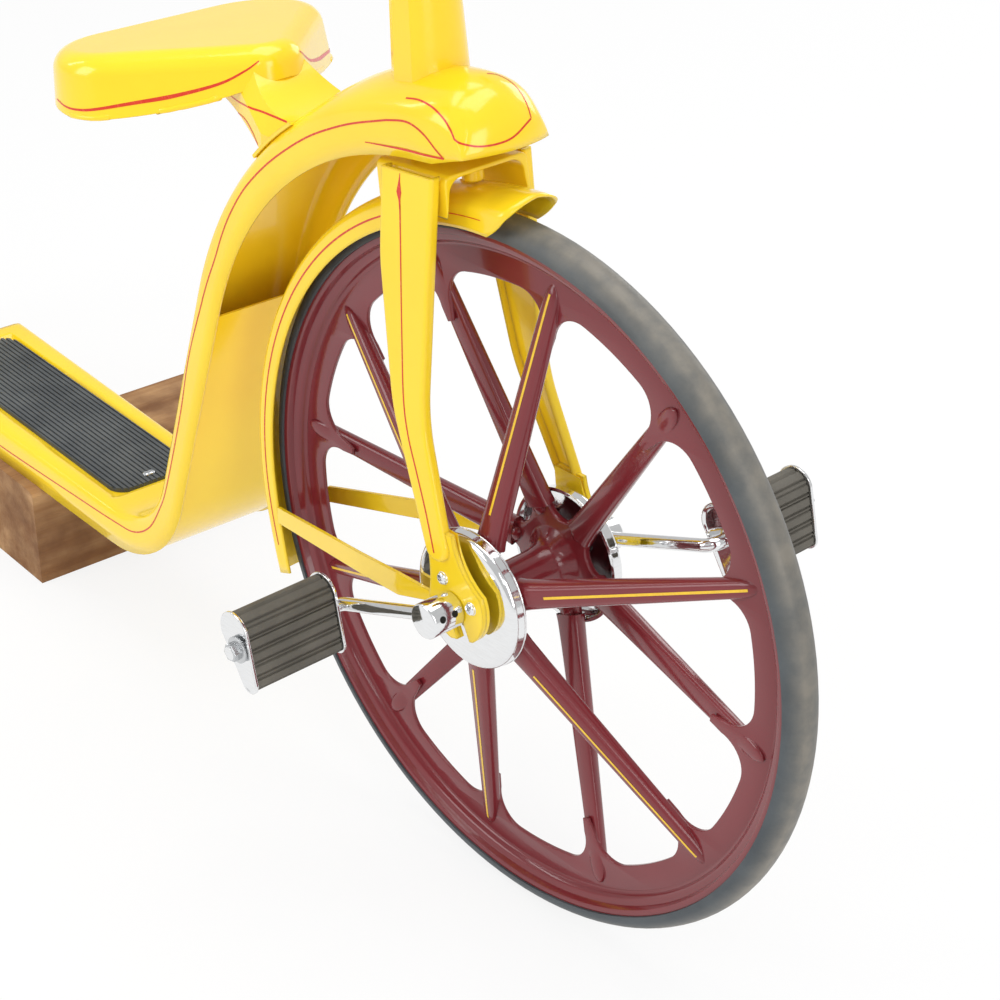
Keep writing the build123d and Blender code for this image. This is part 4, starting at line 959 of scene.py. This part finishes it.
cup_profile = ((6.05, 50.0), (40.0, 49.8), (43.7, 49.7), (45.5, 49.2), (47.0, 48.0), (47.8, 46.6),
               (48.0, 45.5), (48.0, 41.0), (48.2, 40.3), (48.6, 40.0), (48.6, 39.4), (46.0, 39.4),
               (46.0, 45.5), (43.0, 48.0), (6.05, 48.0))
crank_boss_profile = ((60.6, 6.3), (60.6, 12.0), (61.0, 12.4), (83.9, 12.4), (84.7, 11.9), (85.0, 11.3),
                      (85.0, 0.1))
crank_length = 0.110
crank_angle = radians(201)
crank_way = Vector((cos(crank_angle), sin(crank_angle), 0))
crank_end = crank_way * crank_length
axle_way = Vector((0, 0, 1))
rod_radius = 0.0048
rod_height = 0.073
rod_from = 0.006
elbow = 0.009
spindle_tip = 0.1658
straight = crank_length - elbow
turn_centre = crank_way * straight + axle_way * (rod_height + elbow)
rod_path = [axle_way * rod_height + crank_way * (rod_from + (straight - rod_from) * n / 6) for n in range(6)]
rod_path += [turn_centre + crank_way * elbow * sin(pi / 2 * n / 10) - axle_way * elbow * cos(pi / 2 * n / 10)
             for n in range(11)]
rod_path += [crank_end + axle_way * spindle_tip]
crank_boss = lathe([(z / 1000, radius / 1000) for z, radius in crank_boss_profile], 48)
crank_rod = loft(tube_rings(rod_path, rod_radius, crank_way.cross(axle_way), 24))
cranks = {}
for name, side in (("right", 1), ("left", -1)):
    cup = lathe([(side * z / 1000, radius / 1000) for radius, z in cup_profile], 96, closed=True)
    joined(f"cup_{name}", [cup], on_front, chrome, "front_wheel_set",
           (f"hub_cup_{name}",), sharp=25)
    cranks[side] = joined(f"crank_arm_{name}", [crank_boss, crank_rod],
                          lambda point, side=side: on_front(Vector(point) * side), chrome, "front_wheel_set",
                          (f"crank_{name}",))

# Pedals: a tapered rubber block, ribbed along its length all round, between two dished chrome plates with
# a turned rim, held on the spindle by a washer and a nut. Both pedals hang the same way up.
pedal_rubber = rubber("pedal_rubber", (0.085, 0.079, 0.066, 1), (0.20, 0.185, 0.155, 1), roughness=0.62,
                      dust_share=0.5)
put(pedal_rubber, "pedal_rubber_right", "pedal_rubber_left")
put(chrome, "pedal_cage_right", "pedal_cage_left")
put(zinc, "pedal_nut_right", "pedal_nut_left")
pedal_tilt = radians(23)
pedal_along = Vector((sin(pedal_tilt), -cos(pedal_tilt), 0))
pedal_out = Vector((cos(pedal_tilt), sin(pedal_tilt), 0))
pedal_shift = 0.003
block_half = 0.028
block_top = 0.0135
block_foot = 0.007
pedal_inner, pedal_outer = 0.084, 0.156
rib_pitch = 0.0047
rib_groove = 0.0016
rib_share = 0.20
# Across the tread the ribs drift a little off their even pitch, as moulded ones do.
rib_drift, rib_wave = 0.3, 700
straight_steps = 50
block_ends = ((-0.0008, 0.0842), (0, 0.0848), (0, 0.1552), (-0.0008, 0.1558))
plate_steps = ((1.2, 0.0), (1.5, 0.3), (1.5, 1.7), (1.2, 2.0), (0.5, 2.0), (0.0, 1.7), (-1.2, 1.2),
               (-2.6, 1.0))
washer_profile = ((0.1583, 0.005), (0.1583, 0.0093), (0.1585, 0.0095), (0.1596, 0.0095), (0.1598, 0.0092),
                  (0.1598, 0.005))
nut_rings = ((0.0061, 0.1598), (0.0065, 0.1602), (0.0065, 0.1650), (0.0059, 0.1657))
nut_turn = 0.2


def pedal_loop(grow, ribbed=False):
    """The block's end view as places along the tread and out of it, with ribs cut into it."""
    top, foot = block_top + grow, block_foot + grow
    high, low = block_top - block_half, block_half - block_foot
    steps = straight_steps
    places = arc((high, 0), top, pi / 2, 3 * pi / 2, 36)
    places += [(high + (low - high) * n / steps, -top + (top - foot) * n / steps) for n in range(1, steps)]
    places += arc((low, 0), foot, -pi / 2, pi / 2, 22)
    places += [(low + (high - low) * n / steps, foot + (top - foot) * n / steps) for n in range(1, steps)]
    loop = []
    for u, v in places:
        sunk = 0.0
        if ribbed:
            share = (u / rib_pitch + rib_drift * sin(u * rib_wave)) % 1.0
            sunk = rib_groove * max(0.0, 1 - (abs(share - 0.5) / rib_share) ** 4)
        size = (u * u + v * v) ** 0.5 or 1.0
        middle = min(max(u, high), low)
        away = Vector((u - middle, v)).normalized() if abs(v) > 1e-9 else Vector((u / size, 0))
        loop.append((u - away.x * sunk, v - away.y * sunk))
    return loop


def pedal_ring(loop, z):
    """The end view set out at a place along the spindle."""
    return [pedal_along * (u + pedal_shift) + pedal_out * v + Vector((0, 0, z)) for u, v in loop]


def pedal_seat(side):
    """Carries a point round the right pedal's spindle to the right or the left pedal."""
    end = crank_end * side
    return lambda point: on_front((point[0] + end.x, point[1] + end.y, side * point[2]))


for name, side in (("right", 1), ("left", -1)):
    block = loft([pedal_ring(pedal_loop(grow, ribbed=True), z) for grow, z in block_ends])
    joined(f"pedal_block_{name}", [block], pedal_seat(side), pedal_rubber, f"{name}_pedal",
           (f"pedal_rubber_{name}",), sharp=40)
    plates = [loft([pedal_ring(pedal_loop(grow / 1000), start + way * z / 1000) for grow, z in plate_steps])
              for start, way in ((pedal_outer, 1), (pedal_inner, -1))]
    joined(f"pedal_plates_{name}", plates, pedal_seat(side), chrome, f"{name}_pedal",
           (f"pedal_cage_{name}",), sharp=40)
    washer = lathe(washer_profile, 40, closed=True)
    hexagon = [(cos(tau * n / 6 + nut_turn), sin(tau * n / 6 + nut_turn)) for n in range(6)]
    nut = loft([[Vector((x * size, y * size, z)) for x, y in hexagon] for size, z in nut_rings])
    joined(f"spindle_nut_{name}", [washer, nut], pedal_seat(side), zinc, "front_wheel_set",
           (f"pedal_nut_{name}",))

# Handlebar, stem and grips: a chromed steel tube bent up and back, clamped on the chromed stem, with
# plain grips of soft black rubber pushed on its ends.
put(chrome, "handlebar", "steering_stem")
grip_rubber = rubber("grip_rubber", grey(0.02), grey(0.07), roughness=0.5, dust_share=0.3)
put(grip_rubber, "grip_right", "grip_left")


# Painted lines: fine red pinstripes on the yellow and a yellow line down each spoke, drawn by hand with a
# brush. Each lies on the enamel as a ribbon of paint, and swells and thins as a brush stroke does.
def pixel_ray(px, py):
    """The line of sight through a pixel of the photograph."""
    across = (px - picture_width / 2) / focal_pixels
    down = (py - picture_width / 2) / focal_pixels
    return camera_at, (camera_right * across - camera_up * down - camera_back).normalized()


def smooth_points(points, steps):
    """Points along a smooth curve through the given ones."""
    points = [Vector(point) for point in points]
    ends = [2 * points[0] - points[1], *points, 2 * points[-1] - points[-2]]
    found = []
    for first, second, third, fourth in zip(ends, ends[1:], ends[2:], ends[3:]):
        for step in range(steps):
            t = step / steps
            found.append(0.5 * (2 * second + (third - first) * t
                                + (2 * first - 5 * second + 4 * third - fourth) * t * t
                                + (3 * second - first - 3 * third + fourth) * t * t * t))
    found.append(points[-1])
    return found


def struck(piece, rays):
    """Where rays meet a piece, each with the way out of its surface."""
    found = []
    for origin, direction in rays:
        place, normal, _, _ = surface_of(piece).ray_cast(origin, direction)
        if place is not None:
            found.append((place, normal if normal.dot(direction) < 0 else -normal))
    return found


def painted_line(name, body, piece, rays, widths):
    """A thin ribbon of red paint where each ray meets a piece. widths are shared out along its length."""
    hits = struck(piece, rays)
    mesh = bmesh.new()
    pairs = []
    for count, (place, normal) in enumerate(hits):
        before = hits[max(count - 1, 0)][0]
        after = hits[min(count + 1, len(hits) - 1)][0]
        side = (after - before).cross(normal).normalized()
        along = count / (len(hits) - 1) * (len(widths) - 1)
        low = min(int(along), len(widths) - 2)
        width = widths[low] + (widths[low + 1] - widths[low]) * (along - low)
        lifted = place + normal * line_lift
        pairs.append((mesh.verts.new(lifted + side * width / 2), mesh.verts.new(lifted - side * width / 2)))
    for (left, right), (next_left, next_right) in zip(pairs, pairs[1:]):
        mesh.faces.new((left, right, next_right, next_left))
    line = shown(name, mesh, red_line)
    if sum(face.normal.dot(rays[0][1]) for face in line.data.polygons) > 0:
        line.data.flip_normals()
    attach(line, body)


def line_paint(name, colour, worn):
    """Thin glossy paint, paler or darker where the brush ran dry."""
    paint = Finish(name, IOR=1.5, Coat_Roughness=0.05)
    thin = paint.noise(scale=260).above(0.3, 0.7)
    paint.feed("Base Color", paint.mix(thin * 0.5, colour, worn))
    paint.feed("Roughness", 0.2 + thin * 0.1)
    return paint


red_line = line_paint("red_line", (0.66, 0.030, 0.012, 1), (0.74, 0.09, 0.02, 1))
yellow_line = line_paint("yellow_line", (0.90, 0.58, 0.03, 1), (0.70, 0.38, 0.03, 1))
line_lift = 0.00015
pinstripe = 0.0012
even = (pinstripe, pinstripe)
ray_start = 0.2


def pixel_rays(points, steps=8):
    """Lines of sight along a curve drawn in the photograph's pixels."""
    return [pixel_ray(point.x, point.y) for point in smooth_points(points, steps)]


def side_rays(points, side, steps=10):
    """Rays straight in from one side through places along X and Z in millimetres. side is -1 on the
    right."""
    return [(Vector((point.x / 1000, side, point.y / 1000)), Vector((0, -side, 0)))
            for point in smooth_points(points, steps)]


def mirrored(rays):
    """The same rays on the body's other side."""
    return [(Vector((place.x, -place.y, place.z)), Vector((way.x, -way.y, way.z))) for place, way in rays]


def across_fork(rays):
    """The same rays on the fork's other side."""
    back = steer_turn.transposed()
    found = []
    for place, way in rays:
        straight = steer_base + back @ (place - steer_base)
        heading = back @ way
        found.append((turned((straight.x, -straight.y, straight.z)),
                      steer_turn @ Vector((heading.x, -heading.y, heading.z))))
    return found


def fender_rays(radius, start, stop, side, steps=60):
    """Rays straight in on the fender's side along a circle about its centre. side is -1 on the right."""
    found = []
    for step in range(steps + 1):
        angle = radians(start + (stop - start) * step / steps)
        place = (axle_place.x + fender_ahead + radius * cos(angle), side * ray_start,
                 axle_place.z + radius * sin(angle))
        found.append((turned(place), steer_turn @ Vector((0, -side, 0))))
    return found


leg_line = ((-176, 112), (-100, 105), (-11, 104), (117, 109), (177, 112), (206, 116), (230, 131), (247, 155),
            (260, 181), (286, 254), (302, 308), (325, 362))
shoulder_pixels = ((202.3, 299.7), (208, 279.5), (214.8, 258.9), (222, 234.4), (230.9, 212), (244.3, 188.6),
                   (264.4, 166.3), (286.7, 149.1), (309, 136.2), (331.3, 128.3), (353.7, 123.2), (386, 120))
tip_pixels = ((386, 120), (403, 121), (414, 126), (425, 136), (435, 149), (444, 159.5))
branch_pixels = ((443.5, 159), (425, 155), (406, 150), (384, 145.5), (365, 142))
for name, side in (("right", -1), ("left", 1)):
    painted_line(f"leg_line_{name}", "frame", cover, side_rays(leg_line, side), even)
for name, pixels, widths in (("leg_line_shoulder", shoulder_pixels, (pinstripe, pinstripe, 0.0013)),
                             ("leg_line_tip", tip_pixels, (0.0013, 0.0014, 0.0011)),
                             ("leg_line_branch", branch_pixels, (0.0012, 0.0015, 0.0006))):
    rays = pixel_rays(pixels)
    painted_line(f"{name}_right", "frame", cover, rays, widths)
    painted_line(f"{name}_left", "frame", cover, mirrored(rays), widths)
head_pixels = (((406, 98), (419, 100), (432, 107), (443, 118), (450, 129), (454.6, 139.8)),
               ((454.5, 139.5), (461, 143.5), (478, 146.5), (497, 144), (514, 136.5), (531, 118.5)),
               ((531, 118), (527.5, 106), (521, 93), (511, 82), (498, 75), (487, 73.5)))
for count, pixels in enumerate(head_pixels):
    painted_line(f"head_line_{count}", "frame", cover, pixel_rays(pixels), even)

saddle_pixels = ((57, 99), (65, 106), (76, 109.5), (94, 109.5), (134, 103), (174, 96), (219, 84), (245, 71),
                 (259, 61))
bracket_lines = (((231, 96), (239, 102), (251, 108), (263, 112), (287, 122)),
                 ((227, 104), (236, 111), (245, 119), (252, 131), (258, 145)))
line_sets = [("saddle_line", "saddle_pan", saddle_pixels, (0.0012, 0.0014, 0.0020, 0.0028, 0.0016, 0.0008))]
line_sets += [(f"bracket_line_{count}", "saddle_bracket", pixels, (0.0008, 0.0014, 0.0014))
              for count, pixels in enumerate(bracket_lines)]
for name, node, pixels, widths in line_sets:
    rays = pixel_rays(pixels)
    painted_line(f"{name}_right", "frame", nodes[node], rays, widths)
    painted_line(f"{name}_left", "frame", nodes[node], mirrored(rays), widths)

blade_pixels = ((400, 206), (400.5, 240), (401, 280), (402, 340), (403.5, 398), (408, 435), (417, 474),
                (426, 513), (434, 553))
lozenge_pixels = ((400, 173), (399.3, 182), (399, 192), (399.5, 200), (400, 209))
for name, pixels, widths in (("blade_line", blade_pixels, (0.0013, 0.0011, 0.0013, 0.0013)),
                             ("blade_lozenge", lozenge_pixels, (0.0005, 0.0016, 0.0046, 0.0018, 0.0013))):
    rays = pixel_rays(pixels)
    painted_line(f"{name}_right", "steering", nodes["fork_leg_right"], rays, widths)
    painted_line(f"{name}_left", "steering", nodes["fork_leg_left"], across_fork(rays), widths)
fender_line_radius = 0.2555
fender_line_from, fender_line_to = 197, 94.6
for name, side in (("right", -1), ("left", 1)):
    rays = fender_rays(fender_line_radius, fender_line_from, fender_line_to, side)
    painted_line(f"fender_line_{name}", "steering", fender, rays, (*even, *even, 0.0005))

spoke_line_lift = 0.00012
spoke_line_half = {"front_wheel": 0.0009, "rear_wheel": 0.0006}
for wheel, form, body in wheels:
    half = spoke_line_half[wheel]
    for count, ridge in enumerate(wheel_lines[wheel]):
        path = [(place + outward * spoke_line_lift, across * half) for place, across, outward in ridge[2:-4]]
        rows = [[seat(form, place + beside), seat(form, place - beside)] for place, beside in path]
        line = skin(f"{wheel}_spoke_line_{count}", rows, yellow_line)
        facing(line, seat(form, (0, 0, 0)))
        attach(line, body)


# Screws and rivets: pan heads with a cross recess on the claws, thin dark discs of painted shade where the
# grub screw holes show in the crank bosses, and rivets through the mat's ends. Geometry Nodes sets one small
# unit on each point, square to the surface and turned at random.
def repeat_group():
    """A group that sets a unit on every point along the attribute facing, with a random turn."""
    group = bpy.data.node_groups.new("unit_on_points", "GeometryNodeTree")
    sockets = {}
    for name, kind in (("Points", "Geometry"), ("Unit", "Object"), ("Largest Turn", "Float"), ("Seed", "Int"),
                       ("Finish", "Material")):
        socket = group.interface.new_socket(name=name, in_out="INPUT", socket_type=f"NodeSocket{kind}")
        sockets[name] = socket.identifier
    group.interface.new_socket(name="Pieces", in_out="OUTPUT", socket_type="NodeSocketGeometry")
    made = {name: group.nodes.new(kind) for name, kind in (
        ("given", "NodeGroupInput"), ("facing", "GeometryNodeInputNamedAttribute"),
        ("aligned", "FunctionNodeAlignRotationToVector"), ("chance", "FunctionNodeRandomValue"),
        ("turn", "FunctionNodeAxisAngleToRotation"), ("rotated", "FunctionNodeRotateRotation"),
        ("unit", "GeometryNodeObjectInfo"), ("set", "GeometryNodeInstanceOnPoints"),
        ("real", "GeometryNodeRealizeInstances"), ("coated", "GeometryNodeSetMaterial"),
        ("out", "NodeGroupOutput"))}
    made["facing"].data_type = "FLOAT_VECTOR"
    made["facing"].inputs["Name"].default_value = "facing"
    made["aligned"].axis = "Z"
    made["chance"].data_type = "FLOAT"
    made["rotated"].rotation_space = "LOCAL"
    for source, output, target, socket in (
            ("facing", "Attribute", "aligned", "Vector"), ("aligned", "Rotation", "rotated", "Rotation"),
            ("given", "Seed", "chance", "Seed"), ("turn", "Rotation", "rotated", "Rotate By"),
            ("given", "Unit", "unit", "Object"), ("given", "Points", "set", "Points"),
            ("unit", "Geometry", "set", "Instance"), ("rotated", "Rotation", "set", "Rotation"),
            ("set", "Instances", "real", "Geometry"), ("real", "Geometry", "coated", "Geometry"),
            ("given", "Finish", "coated", "Material"), ("coated", "Geometry", "out", "Pieces")):
        group.links.new(made[source].outputs[output], made[target].inputs[socket])
    group.links.new(made["given"].outputs["Largest Turn"], made["chance"].inputs[3])
    group.links.new(made["chance"].outputs[1], made["turn"].inputs["Angle"])
    return group, sockets


def repeated(name, unit, places, finish, body, seed):
    """One piece with the unit at each place, a pair of a point and the way out of the surface."""
    points = bpy.data.meshes.new(name)
    points.from_pydata([place for place, _ in places], [], [])
    facing_out = points.attributes.new("facing", "FLOAT_VECTOR", "POINT")
    for index, (_, normal) in enumerate(places):
        facing_out.data[index].vector = normal
    held = bpy.data.meshes.new(f"{name}_unit")
    held.from_pydata([tuple(point) for point in unit[0]], [], unit[1])
    for face in held.polygons:
        face.use_smooth = True
    held.set_sharp_from_angle(angle=radians(30))
    unit_piece = bpy.data.objects.new(f"{name}_unit", held)
    piece = bpy.data.objects.new(name, points)
    for thing in (unit_piece, piece):
        bpy.context.scene.collection.objects.link(thing)
    group, sockets = unit_on_points
    modifier = piece.modifiers.new("repeat", "NODES")
    modifier.node_group = group
    given = {"Unit": unit_piece, "Largest Turn": pi, "Seed": seed, "Finish": finish.material}
    for socket, value in given.items():
        modifier[sockets[socket]] = value
    made_plain(piece)
    bpy.data.objects.remove(unit_piece)
    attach(piece, body)
    return piece


unit_on_points = repeat_group()
head_radius = 0.0042
washer_radius = 0.0046
recess_arm = 0.0019
recess_neck = 0.0006
recess_width = 0.13
ring_steps = 32
pan_profile = ((washer_radius, -0.0004), (washer_radius, 0.0002), (head_radius, 0.0003),
               (head_radius, 0.0012), (0.0036, 0.0020), (0.0024, 0.0024))
recess_heights = (0.0025, 0.0011)
rivet_profile = ((0.0034, -0.0003), (0.0034, 0.0003), (0.0030, 0.0008), (0.0020, 0.0012),
                 (0.0006, 0.0014))
# A thin flat disc, coloured near black as painted shade, stands for each grub screw hole; no hole is cut.
hole_shade_profile = ((0.0024, -0.0003), (0.0024, 0.00018), (0.0018, 0.0002))
# Where each kind shows in the photograph, in its pixels.
claw_pixels = ((443, 578), (471, 609))
socket_pixels = ((443, 620), (455, 614))
rivet_pixel = (151, 472)


def head_ring(radius, z, cross=False):
    """A ring of a screw head, round or in the outline of its cross recess."""
    ring = []
    for step in range(ring_steps):
        angle = tau * step / ring_steps
        reach = radius
        if cross:
            off_arm = abs((angle / (pi / 2) + 0.5) % 1 - 0.5)
            reach = recess_arm if off_arm < recess_width else recess_neck
        ring.append((reach * cos(angle), reach * sin(angle), z))
    return ring


pan_head = loft([head_ring(radius, z) for radius, z in pan_profile]
                + [head_ring(0, z, cross=True) for z in recess_heights])
rivet = loft([head_ring(radius, z) for radius, z in rivet_profile])
hole_shade_disc = loft([head_ring(radius, z) for radius, z in hole_shade_profile])
# Near-black finish of painted shade for the grub screw holes, which are not cut into the crank bosses.
painted_hole_shade = Finish("painted_hole_shade", Base_Color=grey(0.012), Specular_IOR_Level=0.2)
painted_hole_shade.feed("Roughness", 0.6 + painted_hole_shade.noise(200) * 0.2)

claw_rays = [pixel_ray(*pixel) for pixel in claw_pixels]
claw_places = struck(nodes["fork_leg_right"], claw_rays)
claw_places += struck(nodes["fork_leg_left"], across_fork(claw_rays))
repeated("claw_screws", pan_head, claw_places, chrome, "steering", seed=3)
# The painted shade discs sit flush on the crank bosses where the grub screw holes show.
sockets_right = struck(cranks[1], [pixel_ray(*pixel) for pixel in socket_pixels])
hub_middle = seat(front_form, (0, 0, 0))
sockets_left = [(2 * hub_middle - place, -way) for place, way in sockets_right]
repeated("crank_sockets", hole_shade_disc, sockets_right + sockets_left, painted_hole_shade, "front_wheel_set",
         seed=5)
mat_middle_x = -0.008
mat_corner, _ = struck(nodes["footboard_mat"], [pixel_ray(*rivet_pixel)])[0]
mat_places = [(Vector((x, y, mat_corner.z)), Vector((0, 0, 1)))
              for x in (mat_corner.x, 2 * mat_middle_x - mat_corner.x) for y in (mat_corner.y, -mat_corner.y)]
repeated("mat_rivets", rivet, mat_places, zinc, "frame", seed=7)
